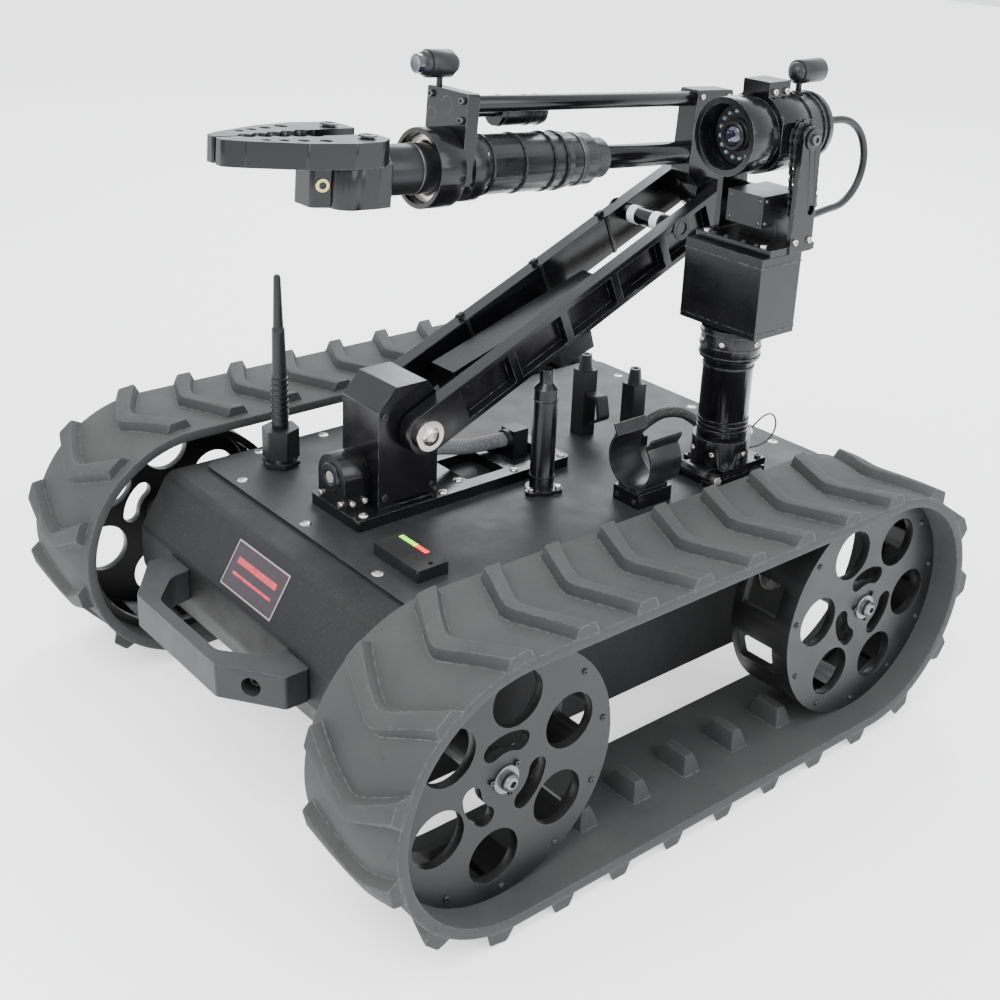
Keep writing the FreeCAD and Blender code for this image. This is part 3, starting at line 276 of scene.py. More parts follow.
def tread_rubber():
    """Dusty moulded rubber: scuffed grey patches, with painted light making the top paler and painted shade in the
    roots of the cleats.
    """
    recipe = Recipe("track_rubber", 0.8)
    patches = recipe.span(recipe.noise(0.045, 7.0, 0.68), 0.34, 0.68)
    colours = recipe.mix(patches, (0.017, 0.018, 0.019), (0.034, 0.034, 0.034))
    stains = recipe.span(recipe.noise(0.013, 5.0, 0.6), 0.60, 0.72)
    colours = recipe.mix(recipe.times(stains, 0.6), colours, (0.012, 0.012, 0.013))
    # Painted light: the upward faces are made paler, as if lit from above.
    painted_top_light = recipe.times(recipe.upward(), recipe.span(recipe.noise(0.08, 5.0, 0.65), 0.3, 0.7, 0.25, 0.75))
    colours = recipe.mix(painted_top_light, colours, (0.056, 0.056, 0.055))
    scuffed = recipe.times(recipe.edges(0.0016), recipe.span(recipe.noise(0.004, 3.0), 0.4, 0.6, 0.1, 0.75))
    colours = recipe.mix(scuffed, colours, (0.11, 0.11, 0.11))
    recipe.set("Base Color", colours)
    recipe.set("Roughness", recipe.span(patches, 0, 1, 0.72, 0.9))
    recipe.bump(recipe.noise(0.0016, 4.0, 0.6), 0.00022)
    return recipe.material


def braid(name, colour, fleck, pitch):
    """A woven sleeve: two crossing families of strands with paler flecks."""
    recipe = Recipe(name, 0.65)
    waves = []
    for turn in (0.8, -0.8):
        turned = recipe.node("ShaderNodeMapping", {"Vector": recipe.place, "Rotation": (turn, turn, turn)})
        wave = recipe.node("ShaderNodeTexWave", {"Vector": turned.outputs[0], "Scale": 0.32 / pitch,
                                                 "Distortion": 0.5}, wave_profile="SIN")
        waves.append(wave.outputs["Fac"])
    woven = recipe.times(waves[0], waves[1])
    flecks = recipe.span(recipe.noise(pitch, 2.0), 0.5, 0.7)
    colours = recipe.mix(flecks, colour, fleck)
    recipe.set("Base Color", recipe.mix(woven, scaled(colour, 0.5), colours))
    recipe.bump(woven, 0.0005)
    return recipe.material


def lens_glass():
    """Dark coated glass with a violet sheen that varies over the face."""
    recipe = Recipe("lens_glass", 0.04)
    tone = recipe.span(recipe.noise(0.012, 2.0), 0.4, 0.6)
    recipe.set("Base Color", recipe.mix(tone, (0.006, 0.006, 0.015), (0.018, 0.012, 0.040)))
    recipe.set("Coat Weight", 1.0)
    recipe.set("Coat Roughness", 0.02)
    return recipe.material


def lamp_dome():
    """The clear dome of a small lamp, smoky, with bluish glints painted into its colour."""
    recipe = Recipe("lamp_dome", 0.08)
    tone = recipe.span(recipe.noise(0.002, 2.0), 0.4, 0.6)
    # Painted reflection: the bluish tones stand in for glints on the domes.
    recipe.set("Base Color", recipe.mix(tone, (0.05, 0.07, 0.10), (0.16, 0.22, 0.26)))
    recipe.set("Coat Weight", 1.0)
    return recipe.material


def glowing(name, colour, strength):
    """A lit lamp whose brightness varies at random."""
    recipe = Recipe(name, 0.3)
    tone = recipe.span(recipe.noise(0.0015, 1.0), 0.35, 0.65)
    recipe.set("Base Color", recipe.mix(tone, scaled(colour, 0.7), colour))
    recipe.set("Emission Color", recipe.mix(tone, scaled(colour, 0.8), colour))
    recipe.set("Emission Strength", strength)
    return recipe.material


# ---------------------------------------------------------------- building meshes

class Piece:
    """Collects solids into one mesh, each placed by a matrix."""

    def __init__(self):
        self.mesh = bmesh.new()

    def loft(self, rings, loop=False):
        """Joins rings of points, all of one length, into a skin."""
        rows = [[self.mesh.verts.new(p) for p in ring] for ring in rings]
        pairs = list(zip(rows, rows[1:])) + ([(rows[-1], rows[0])] if loop else [])
        for first, second in pairs:
            for i in range(len(first)):
                j = (i + 1) % len(first)
                self.mesh.faces.new((first[i], first[j], second[j], second[i]))
        if not loop:
            self.mesh.faces.new(list(reversed(rows[0])))
            self.mesh.faces.new(rows[-1])
        return self

    def lathe(self, profile, place, steps=40, loop=False):
        """Turns (radius, height) points about local Z; HEX as a third value makes that ring a hexagon."""
        rings = []
        for radius, height, *hexagon in profile:
            ring = []
            for i in range(steps):
                angle = math.tau * i / steps
                wedge = angle % (math.tau / HEX) - math.pi / HEX
                reach = radius * math.cos(math.pi / HEX) / math.cos(wedge) if hexagon else radius
                ring.append(place @ Vector((reach * math.cos(angle), reach * math.sin(angle), height)))
            rings.append(ring)
        return self.loft(rings, loop)

    def prism(self, outline, low, high, place):
        """A flat outline in local XY between two heights."""
        return self.loft([[place @ Vector((x, y, z)) for x, y in outline] for z in (low, high)])

    def box(self, size, place):
        """A box about its centre."""
        a, b, c = (part / 2 for part in size)
        return self.prism([(-a, -b), (a, -b), (a, b), (-a, b)], -c, c, place)

    def band(self, inner, outer, width, place):
        """A flat ring between two matching outlines, as a strap round a bar."""
        rings = []
        for outline, height in ((inner, -width / 2), (outer, -width / 2), (outer, width / 2), (inner, width / 2)):
            rings.append([place @ Vector((x, y, height)) for x, y in outline])
        return self.loft(rings, loop=True)

    def finish(self, name, body, slot, finish, bevel=0.0, replaces=(), angle=35):
        """Makes the object, with its finish, and rides it on a body."""
        bmesh.ops.recalc_face_normals(self.mesh, faces=self.mesh.faces)
        mesh = bpy.data.meshes.new(name)
        self.mesh.to_mesh(mesh)
        self.mesh.free()
        made = bpy.data.objects.new(name, mesh)
        bpy.context.scene.collection.objects.link(made)
        mesh.materials.append(finish)
        mesh.polygons.foreach_set("use_smooth", [True] * len(mesh.polygons))
        mesh.set_sharp_from_angle(angle=math.radians(angle))
        if bevel:
            soften(made, bevel)
        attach(made, body)
        if replaces:
            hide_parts(*replaces)
        return made


def soften(made, width, weld=False):
    """Rounds the sharp edges of an object with modifiers."""
    if weld:
        made.modifiers.new("weld", "WELD").merge_threshold = 0.00001
    bevel = made.modifiers.new("bevel", "BEVEL")
    bevel.width = width
    bevel.segments = 2
    bevel.limit_method = "ANGLE"
    bevel.angle_limit = math.radians(38)
    bevel.harden_normals = True


def around(count, radius, shift=0.0):
    """Evenly spaced points on a circle; the first is shifted by a share of their spacing."""
    turns = [math.tau * (i + shift) / count for i in range(count)]
    return [(radius * math.cos(turn), radius * math.sin(turn)) for turn in turns]


def millimetres(points):
    """Points given in millimetres; what follows the first two numbers stays as it is."""
    return [(first * MM, second * MM, *rest) for first, second, *rest in points]


def rectangle(width, height, corner=0.0, steps=4):
    """A rectangle about the origin, with round corners."""
    points = []
    for i, (a, b) in enumerate(((1, 1), (-1, 1), (-1, -1), (1, -1))):
        for j in range(steps):
            turn = math.pi / 2 * (i + j / (steps - 1))
            x = a * (width / 2 - corner) + corner * math.cos(turn)
            y = b * (height / 2 - corner) + corner * math.sin(turn)
            points.append((x, y))
    return points


def facing(point, axis, spin=0.0):
    """A place at a point, with local Z along an axis."""
    turn = Vector(axis).to_track_quat("Z", "Y").to_matrix().to_4x4()
    return Matrix.Translation(Vector(point)) @ turn @ Matrix.Rotation(spin, 4, "Z")


def cap_screw(piece, place, radius, height):
    """A round head with a hexagon socket."""
    socket = radius * 0.55
    piece.lathe([
        (socket * 0.1, height * 0.35, HEX), (socket, height * 0.35, HEX), (socket, height, HEX),
        (radius * 0.88, height), (radius * 0.97, height * 0.88), (radius, height * 0.7), (radius, 0),
    ], place, 24)


def button_screw(piece, place, radius, height):
    """A domed head with a hexagon socket."""
    socket = radius * 0.42
    piece.lathe([
        (socket * 0.1, height * 0.3, HEX), (socket, height * 0.3, HEX), (socket, height, HEX),
        (radius * 0.62, height * 0.94), (radius * 0.85, height * 0.66), (radius, height * 0.18), (radius, 0),
    ], place, 24)


# ---------------------------------------------------------------- frames of the moving groups

def joint_place(name):
    """A joint's point as a vector."""
    return Vector(JOINTS[name]["pos_m"])


SHOULDER = joint_place("shoulder")
ELBOW = joint_place("elbow")


def arm_frame():
    """Origin on the shoulder's axis, with the elbow on local -X and local Y across."""
    back = (ELBOW - SHOULDER).normalized()
    across = Vector((0, 1, 0))
    rise = (-back).cross(across)
    return Matrix.Translation(SHOULDER) @ Matrix((-back, across, rise)).transposed().to_4x4()


def forearm_frame():
    """Origin above the elbow, with local X along the wrist's axis."""
    along = Vector(JOINTS["wrist_roll"]["axis"])
    across = Vector((0, 1, 0))
    rise = along.cross(across)
    origin = joint_place("wrist_roll") - along * 0.35
    return Matrix.Translation(origin) @ Matrix((along, across, rise)).transposed().to_4x4()


ARM = arm_frame()
FORE = forearm_frame()
ACTUATOR = ARM @ Matrix.Translation((-0.38, 0, 0)) @ Matrix.Rotation(math.radians(-5.7), 4, "Y")


def local(base, point, axis):
    """A place given in millimetres in a group's own frame."""
    return base @ facing(Vector(point) * MM, axis)


# ---------------------------------------------------------------- cords

def cord(name, route, diameter, finish, body, replaces):
    """A cord on one smooth line through its given control points."""
    data = bpy.data.curves.new(name, "CURVE")
    data.dimensions = "3D"
    line = data.splines.new("NURBS")
    line.points.add(len(route) - 1)
    for point, (x, y, z) in zip(line.points, route):
        point.co = (x * MM, y * MM, z * MM, 1)
    line.order_u = 3
    line.use_endpoint_u = True
    line.resolution_u = 10
    data.bevel_depth = diameter / 2 * MM
    data.bevel_resolution = 5
    data.use_fill_caps = True
    data.materials.append(finish)
    made = bpy.data.objects.new(name, data)
    bpy.context.scene.collection.objects.link(made)
    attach(made, body)
    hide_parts(replaces)
    return made


SLEEVE_ROUTE = [
    (85.0, -8, 242), (66, -9, 240.5), (46, -13, 234.5), (25, -16, 227.5), (2, -15.5, 225.3), (-21.6, -12, 226),
]
MAST_CABLE_ROUTE = [
    (-146.1, 33.75, 221.2), (-157.3, 40.65, 234.3), (-172.5, 50, 239.2), (-187.7, 59.35, 234.3),
    (-198.9, 66.25, 221.2),
]
CAMERA_LEAD_ROUTE = [
    (-236.3, 121.5, 514), (-261, 121.7, 515.2), (-287.4, 122.5, 514), (-307.4, 123.5, 499.5),
    (-315, 124.5, 476), (-307.4, 125.3, 452.5), (-287.4, 126, 438), (-264, 126.5, 436.5),
    (-234, 127, 432.6), (-205.3, 127.2, 431),
]
LANYARD_ROUTE = [
    (-198.3, 121.5, 238), (-207, 121.2, 243), (-219, 120.6, 248), (-231, 119.6, 247), (-240, 118.4, 238),
    (-241.5, 117.6, 227), (-234, 117, 218.5), (-223, 116.6, 215.5), (-209, 116.2, 216.5), (-196.3, 116, 218),
]


def add_cords(finishes):
    """The grey sleeve, the braided mast cable, the camera's lead and the lock pin's lanyard."""
    cord("sleeve_hose", SLEEVE_ROUTE, 14, finishes["sleeve_braid"], "chassis",
         "cable_sleeve")
    cord("mast_braid", MAST_CABLE_ROUTE, 10, finishes["black_braid"], "chassis",
         "mast_cable")
    cord("camera_cord", CAMERA_LEAD_ROUTE, 6.8, finishes["soft_rubber"], "pan_head",
         "camera_lead")
    cord("pin_lanyard", LANYARD_ROUTE, 1.6, finishes["black_braid"], "mast",
         "lock_pin_lanyard")


# ---------------------------------------------------------------- tracks

AXLE_X = joint_place("front_left_wheel_spin").x
AXLE_Z = joint_place("front_left_wheel_spin").z
CLEAT_HIGH = 9 * MM
TIP_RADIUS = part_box("track_left")[1].x - AXLE_X
OUTER_RADIUS = TIP_RADIUS - CLEAT_HIGH
BELT_THICK = 9.4 * MM
PITCH_RADIUS = OUTER_RADIUS - BELT_THICK
CLEAT_COUNT = 25
CLEAT_START = 63 * MM
CLEAT_SECTION = [(-9.0, -1.5), (-9.0, 0), (-6.6, 6.2), (-5.6, 8.4), (-4.4, 9), (4.4, 9), (5.6, 8.4), (6.6, 6.2),
                 (9.0, 0), (9.0, -1.5)]
LUG_START = 44 * MM
LUG_LEVELS = [(21, 36, -1), (20, 35, 0), (13, 28, 12), (9, 25, 15.6), (7, 23, 16)]
WHEEL_FACE = 264.8 * MM


def on_belt(along, across, height):
    """A point at a distance along the belt's path, across it, and above its outer face."""
    reach = OUTER_RADIUS + height
    arc = math.pi * PITCH_RADIUS
    along = (along + AXLE_X) % (4 * AXLE_X + 2 * arc)
    if along < 2 * AXLE_X:
        return Vector((along - AXLE_X, across, AXLE_Z + reach))
    along -= 2 * AXLE_X
    if along < arc:
        turn = along / PITCH_RADIUS
        return Vector((AXLE_X + reach * math.sin(turn), across, AXLE_Z + reach * math.cos(turn)))
    along -= arc
    if along < 2 * AXLE_X:
        return Vector((AXLE_X - along, across, AXLE_Z - reach))
    turn = (along - 2 * AXLE_X) / PITCH_RADIUS
    return Vector((-AXLE_X - reach * math.sin(turn), across, AXLE_Z - reach * math.cos(turn)))


def add_cleat(piece, start, near, far):
    """A V rib with sloped sides, rounded at its point and sunk a little into the belt."""
    middle_y, half = (near + far) / 2, (far - near) / 2
    reach, soft = 23 * MM, 0.12
    rings = []
    steps = 18
    for i in range(steps + 1):
        share = 2 * i / steps - 1
        bow = (math.sqrt(share * share + soft * soft) - soft) / (1 - soft)
        y = middle_y + share * half
        centre = start - reach * bow
        wider = 1.0 + 0.25 * abs(share) ** 3
        rings.append([on_belt(centre + offset * wider * MM, y, height * MM) for offset, height in CLEAT_SECTION])
    piece.loft(rings)


def add_lug(piece, start, y):
    """A blunt pyramid on the belt's inner face."""
    rings = []
    for length, width, depth in LUG_LEVELS:
        outline = rectangle(length * MM, width * MM, 2.5 * MM, 3)
        rings.append([on_belt(start + px, y + py, -BELT_THICK - depth * MM) for px, py in outline])
    piece.loft(rings)


def add_track(side_name, side, finishes):
    """The belt with its rounded edges, cleats and lugs."""
    low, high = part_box("track_" + side_name)
    total = 4 * AXLE_X + 2 * math.pi * PITCH_RADIUS
    piece = Piece()
    inner, lip = -BELT_THICK, 1.8 * MM
    section = [
        (low.y, inner + lip), (low.y + lip * 0.3, inner + lip * 0.3), (low.y + lip, inner),
        (high.y - lip, inner), (high.y - lip * 0.3, inner + lip * 0.3), (high.y, inner + lip),
        (high.y, -lip), (high.y - lip * 0.3, -lip * 0.3), (high.y - lip, 0),
        (low.y + lip, 0), (low.y + lip * 0.3, -lip * 0.3), (low.y, -lip),
    ]
    steps = 264
    piece.loft([[on_belt(total * i / steps, y, h) for y, h in section] for i in range(steps)], loop=True)
    pitch = total / CLEAT_COUNT
    near_belt, far_belt = sorted((low.y, high.y), key=abs)
    near, far = near_belt + side * 9 * MM, far_belt - side * 0.4 * MM
    for i in range(CLEAT_COUNT):
        add_cleat(piece, CLEAT_START + i * pitch, near, far)
        start = LUG_START + i * pitch
        on_straight_run = abs(on_belt(start, 0, 0).x) < 0.7 * AXLE_X
        if on_straight_run:
            add_lug(piece, start, (low.y + high.y) / 2)
    piece.finish("tread_" + side_name, "chassis", "track_rubber", finishes["track_rubber"],
                 replaces=["track_" + side_name], angle=28)


def add_wheel_details(end_name, side_name, side, finishes):
    """The rim screws and hub hardware of one wheel."""
    wheel = "%s_%s" % (end_name, side_name)
    body = wheel + "_wheel"
    centre = joint_place(body + "_spin")

    def on_disc(x=0.0, z=0.0, lift=0.0):
        """A place on the wheel's outer face, or lifted off it."""
        return facing((centre.x + x, side * (WHEEL_FACE + lift), centre.z + z), (0, side, 0))

    screws = Piece()
    for x, z in around(11, 93.6 * MM, 0.25):
        button_screw(screws, on_disc(x, z), 2.7 * MM, 1.5 * MM)
    for x, z in around(3, 13.6 * MM, 0.1):
        cap_screw(screws, on_disc(x, z), 2.2 * MM, 2.4 * MM)
    screws.finish("wheel_screws_" + wheel, body, "black_steel", finishes["black_steel"])
    hub = Piece()
    button_screw(hub, on_disc(lift=1.6 * MM), 7.3 * MM, 7.0 * MM)
    hub.lathe(millimetres([(7.2, 0), (11.4, 0), (11.4, 1.4), (10.8, 2.0), (7.2, 2.0)]), on_disc())
    hub.finish("hub_bolt_" + wheel, body, "black_steel", finishes["hub_steel"])


# ---------------------------------------------------------------- hull and deck

def loose_parts(node):
    """The boxes of the separate solids of a CAD node, as (lowest, highest)."""
    mesh = bmesh.new()
    mesh.from_mesh(frame["nodes"][node].data)
    bmesh.ops.remove_doubles(mesh, verts=mesh.verts, dist=0.00001)
    left, boxes = set(mesh.verts), []
    while left:
        group, front = set(), [next(iter(left))]
        while front:
            vert = front.pop()
            if vert in group:
                continue
            group.add(vert)
            front += [edge.other_vert(vert) for edge in vert.link_edges]
        left -= group
        corners = [[pick(v.co[k] for v in group) for k in range(3)] for pick in (min, max)]
        boxes.append((Vector(corners[0]), Vector(corners[1])))
    mesh.free()
    return sorted(boxes, key=lambda box: (round(box[0].x, 4), round(box[0].y, 4)))


def add_screws(finishes):
    """Socketed heads where the deck and the arm's base plate are screwed down."""
    piece = Piece()
    for low, high in loose_parts("screws"):
        point = (low + high) / 2
        radius = (high.x - low.x) / 2
        button_screw(piece, facing((point.x, point.y, low.z), (0, 0, 1), point.x * 40), radius, high.z - low.z)
    piece.finish("deck_screws", "chassis", "bright_steel", finishes["bright_steel"], replaces=["screws"])


def add_labels(finishes):
    """A plain bordered plate with two bars on the front slope, and a small one on the arm's actuator."""
    normal = Vector((46, 0, 28)).normalized()
    across = Vector((0, 1, 0))
    centre = Vector((252.9, 9, 179.6)) * MM
    place = Matrix.Translation(centre) @ Matrix((across, normal.cross(across), normal)).transposed().to_4x4()

    def plate(piece, width, height, low, high, corner=0.4, rise=0.0):
        """Adds a plate on the slope, in millimetres."""
        moved = place @ Matrix.Translation((0, rise * MM, 0))
        return piece.prism(rectangle(width * MM, height * MM, corner * MM), low * MM, high * MM, moved)

    plate(Piece(), 77, 39, -0.3, 0.35).finish("label_rim", "chassis", "hull_powder", finishes["label_edge"])
    plate(Piece(), 74.5, 36.5, 0.0, 0.5).finish("label_face", "chassis", "hull_powder", finishes["label_ground"])
    marks = Piece()
    for height, rise in ((5.2, 5.0), (2.4, -6.0)):
        plate(marks, 58, height, 0.3, 0.62, 0.3, rise)
    marks.finish("label_marks", "chassis", "hull_powder", finishes["label_red"])
    side = local(ACTUATOR, (252, 15, -34), (0, 1, 0))
    Piece().prism(rectangle(34 * MM, 12 * MM, 1 * MM), -0.2 * MM, 0.35 * MM, side).finish(
        "actuator_label", "upper_arm", "motor_black", finishes["label_ground"])
    Piece().prism(rectangle(24 * MM, 2.4 * MM, 0.4 * MM), 0.2 * MM, 0.55 * MM, side).finish(
        "actuator_bar", "upper_arm", "motor_black", finishes["yellow"])


def add_lamps():
    """Ten small lamps on the charge meter: five green, one amber and four red."""
    low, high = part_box("charge_meter")
    green, amber, red = (0.25, 1.0, 0.02), (1.0, 0.75, 0.02), (1.0, 0.03, 0.02)
    for i, colour in enumerate([green] * 5 + [amber] + [red] * 4):
        number = "%02d" % (i + 1)
        place = Matrix.Translation((low.x + 6 * MM, low.y + (6 + 3.6 * i) * MM, high.z))
        Piece().box((4.6 * MM, 2.5 * MM, 1.0 * MM), place).finish(
            "meter_lamp_" + number, "chassis", "meter_case", glowing("lamp_" + number, colour, 2.2),
            bevel=0.4 * MM)


# ---------------------------------------------------------------- small hardware

def heads(name, body, finish, slot, places, radius, height, round_top=False):
    """A set of screw heads; each place is a matrix with its local Z outward."""
    piece = Piece()
    for place in places:
        (button_screw if round_top else cap_screw)(piece, place, radius * MM, height * MM)
    return piece.finish(name, body, slot, finish)


def rings(name, body, finish, slot, places, profile, steps=48):
    """Turned rings of one profile, in millimetres, at several places."""
    piece = Piece()
    for place in places:
        piece.lathe(millimetres(profile), place, steps, loop=True)
    return piece.finish(name, body, slot, finish)


def washer(inner, outer, height):
    """The profile of a flat ring with a small chamfer."""
    edge = min(0.35, height / 3)
    return [(inner, 0), (outer, 0), (outer, height - edge), (outer - edge, height), (inner, height)]


def on(point, axis):
    """A place in the robot's own frame, given in millimetres."""
    return facing(Vector(point) * MM, axis)


MAST_X, MAST_Y = -160, 121.5
CAMERA_Z = 514
POST_X, POST_Y = -3, 59
ANTENNA_X, ANTENNA_Y = 152, -116
CHAIN_Y = 157.0
CHAIN_PITCH = 6.35
TEETH = 13
LINK_COUNT = 32
LINK_END = 2.7
PITCH_CIRCLE = CHAIN_PITCH / (2 * math.sin(math.pi / TEETH))


def chain_point(along):
    """A point of the tilt chain's path in millimetres, from its tangent on the front side."""
    top, low = (Vector((place.x, 0, place.z)) / MM for place in (joint_place("tilt"), joint_place("tilt_drive")))
    rise = (top - low).normalized()
    front = Vector((rise.z, 0, -rise.x))
    straight, arc = (top - low).length, math.pi * PITCH_CIRCLE
    along %= 2 * (straight + arc)
    if along < straight:
        return low + front * PITCH_CIRCLE + rise * along
    along -= straight
    if along < arc:
        turn = along / PITCH_CIRCLE
        return top + (front * math.cos(turn) + rise * math.sin(turn)) * PITCH_CIRCLE
    along -= arc
    if along < straight:
        return top - front * PITCH_CIRCLE - rise * along
    turn = (along - straight) / PITCH_CIRCLE
    return low - (front * math.cos(turn) + rise * math.sin(turn)) * PITCH_CIRCLE


def add_chain(finishes):
    """The roller chain's links, and the teeth of its two sprockets."""
    links = Piece()
    top, low = joint_place("tilt"), joint_place("tilt_drive")
    total = 2 * ((top - low).length / MM + math.pi * PITCH_CIRCLE)
    pins = [chain_point(total * i / LINK_COUNT) for i in range(LINK_COUNT)]
    for i, pin in enumerate(pins):
        after = pins[(i + 1) % LINK_COUNT]
        along = (after - pin).normalized()
        rise = along.cross(Vector((0, 1, 0)))
        frame_of = Matrix((along, rise, Vector((0, -1, 0)))).transposed().to_4x4()
        middle = (pin + after) / 2
        length = (after - pin).length
        turns = [math.radians(angle) for angle in range(-75, 76, 25)]
        half = [(length / 2 + LINK_END * math.cos(turn), LINK_END * math.sin(turn)) for turn in turns]
        half += [(0.8, 2.0), (-0.8, 2.0)]
        plan = millimetres(half + [(-x, -y) for x, y in half])
        for side in (-1, 1):
            offset = side * (2.5 if i % 2 else 1.75)
            centre = Vector((middle.x, CHAIN_Y + offset, middle.z)) * MM
            links.prism(plan, -0.35 * MM, 0.35 * MM, Matrix.Translation(centre) @ frame_of)
        roller = on((pin.x, CHAIN_Y - 3.0, pin.z), (0, 1, 0))
        links.lathe(millimetres([(0.9, 0), (0.9, 1.6), (1.65, 1.7), (1.65, 4.3), (0.9, 4.4), (0.9, 6.0)]),
                    roller, 12)
    links.finish("chain_links", "pan_head", "black_steel", finishes["black_steel"], replaces=["tilt_chain"])
    for name, body, centre in (("upper_teeth", "camera_head", top), ("lower_teeth", "tilt_sprocket", low)):
        teeth = Piece()
        plan = []
        for i in range(TEETH):
            start = math.tau * i / TEETH
            for share, reach in ((0.0, 9.6), (0.22, 9.9), (0.40, 11.4), (0.60, 11.4), (0.78, 9.9)):
                turn = start + share * math.tau / TEETH
                plan.append((reach * MM * math.cos(turn), reach * MM * math.sin(turn)))
        place = facing((centre.x, CHAIN_Y * MM, centre.z), (0, 1, 0))
        teeth.prism(plan, -1.0 * MM, 1.0 * MM, place)
        teeth.finish(name, body, "black_steel", finishes["black_steel"])


def add_camera_head(finishes):
    """The lens behind its ring of lamps, clamp screws, and the pan box's lid and screws."""
    lens = Piece()
    front = on((-148, MAST_Y, CAMERA_Z), (1, 0, 0))
    profile = [(26.6, 0), (26.6, 2.2), (25.2, 3.4), (13.4, 3.4), (13.4, 7.4), (12.2, 8.6), (12.2, 12.4),
               (11.4, 13.2), (9.2, 13.2), (8.8, 10.6), (0.6, 10.6)]
    lens.lathe(millimetres(profile), front, 56)
    lens.finish("lens_mount", "camera_head", "lens_glass", finishes["meter_case"], replaces=["camera_lens"])
    glass = Piece()
    dome = [(8.7, 10.7), (7.6, 11.8), (5.6, 12.6), (3.0, 13.1), (0.4, 13.2)]
    glass.lathe(millimetres(dome), front)
    glass.finish("lens_front", "camera_head", "lens_glass", finishes["lens_glass"])
    lamps = Piece()
    for x, y in around(16, 19.4 * MM, 0.5):
        lamps.lathe(millimetres([(2.3, 0), (2.3, 0.9), (1.9, 2.2), (0.9, 3.0), (0.1, 3.1)]),
                    front @ Matrix.Translation((x, y, 3.4 * MM)), 14)
    lamps.finish("lens_lamps", "camera_head", "lens_glass", finishes["lamp_dome"])
    lead = on((-214, MAST_Y, 541), (0, 0, 1))
    rings("camera_rings", "camera_head", finishes["black_anodised"], "black_anodised",
          [on((x, MAST_Y, CAMERA_Z), (1, 0, 0)) for x in (-226, -220, -204, -153)],
          [(28.9, 0), (29.7, 0.2), (29.9, 1.0), (29.7, 1.8), (28.9, 2.0)], 64)
    rings("stem_nut", "camera_head", finishes["black_steel"], "soft_rubber", [lead], washer(2.5, 5.4, 3.2), 24)
    heads("clamp_screws", "camera_head", finishes["bright_steel"], "black_steel",
          [on((x, 135.5, 549), (0, 1, 0)) for x in (-180, -166)], 2.6, 2.6)
    seam = Piece()
    seam.box((50.9 * MM, 86.9 * MM, 1.1 * MM), Matrix.Translation(Vector((-164, MAST_Y, 411)) * MM))
    seam.box((50.7 * MM, 86.7 * MM, 0.8 * MM), Matrix.Translation(Vector((-164, MAST_Y, 353)) * MM))
    seam.finish("pan_seams", "pan_head", "motor_black", finishes["black_anodised"])
    corners = [on((x, 78.5, z), (0, -1, 0)) for x in (-183, -145) for z in (359, 405)]
    corners += [on((-189, y, z), (-1, 0, 0)) for y in (85, 158) for z in (359, 405)]
    heads("pan_screws", "pan_head", finishes["black_steel"], "motor_black", corners, 2.6, 1.6, True)
    lid = [on((-152, y, 425), (0, 0, 1)) for y in (98, 112, 131, 145)]
    heads("lid_screws", "pan_head", finishes["black_steel"], "motor_black", lid, 2.2, 1.4, True)
    yoke = [on((x, 166, 429), (0, 1, 0)) for x in (-193, -175)]
    yoke += [on((x, 82.5, 429), (0, -1, 0)) for x in (-193, -175)]
    yoke += [on((-152, y, 425), (0, 0, 1)) for y in (90, 153)]
    heads("yoke_screws", "pan_head", finishes["bright_steel"], "black_anodised", yoke, 2.8, 2.2)
    case = [on((x, 145, z), (0, 1, 0)) for x in (-201, -160) for z in (442, 461)]
    case += [on((-156, y, z), (1, 0, 0)) for y in (110, 141) for z in (442, 461)]
    heads("tilt_motor_screws", "pan_head", finishes["dull_steel"], "motor_black", case, 1.8, 1.1, True)
    rings("shaft_collar", "camera_head", finishes["black_steel"], "black_steel",
          [on((-184, 166.3, CAMERA_Z), (0, 1, 0))], washer(6.0, 8.6, 1.6), 32)
    heads("shaft_bolt", "camera_head", finishes["dull_steel"], "black_steel",
          [on((-184, 168, CAMERA_Z), (0, 1, 0))], 4.6, 2.4)


def add_mast_details(finishes):
    """Grooved bands, clamp screws and the lock pin's ring."""
    rings("mast_bands", "mast", finishes["black_anodised"], "black_anodised",
          [on((MAST_X, MAST_Y, z), (0, 0, 1)) for z in (252, 256.5, 261, 311)],
          [(22.1, 0), (22.9, 0.3), (23.1, 1.2), (22.9, 2.1), (22.1, 2.4)], 64)
    rings("mast_head_bands", "mast", finishes["black_anodised"], "black_anodised",
          [on((MAST_X, MAST_Y, z), (0, 0, 1)) for z in (322, 330, 342)],
          [(26.4, 0), (27.1, 0.3), (27.2, 0.9), (27.1, 1.5), (26.4, 1.8)], 64)
    collar = []
    for angle in (25, 95, 265, 335):
        out = Vector((math.cos(math.radians(angle)), math.sin(math.radians(angle)), 0))
        collar.append(facing(Vector((MAST_X, MAST_Y, 233)) * MM + out * 25.3 * MM, out))
        collar.append(facing(Vector((MAST_X, MAST_Y, 336)) * MM + out * 26.3 * MM, out))
    heads("mast_set_screws", "mast", finishes["bright_steel"], "black_anodised", collar, 2.4, 1.2)
    leaf = [on((-190, y, 221), (0, 0, 1)) for y in (102, 141)]
    leaf += [on((-145, y, 221), (0, 0, 1)) for y in (101.5, 141.5)]
    heads("leaf_screws", "mast", finishes["black_steel"], "black_anodised", leaf, 3.0, 2.2)
    ring = [(7.4 + x, y) for x, y in around(10, 0.9)]
    rings("pin_ring", "mast_lock", finishes["bright_steel"], "bright_steel",
          [on((-192, MAST_Y, 238), (1, 0, 0.3))], ring, 32)


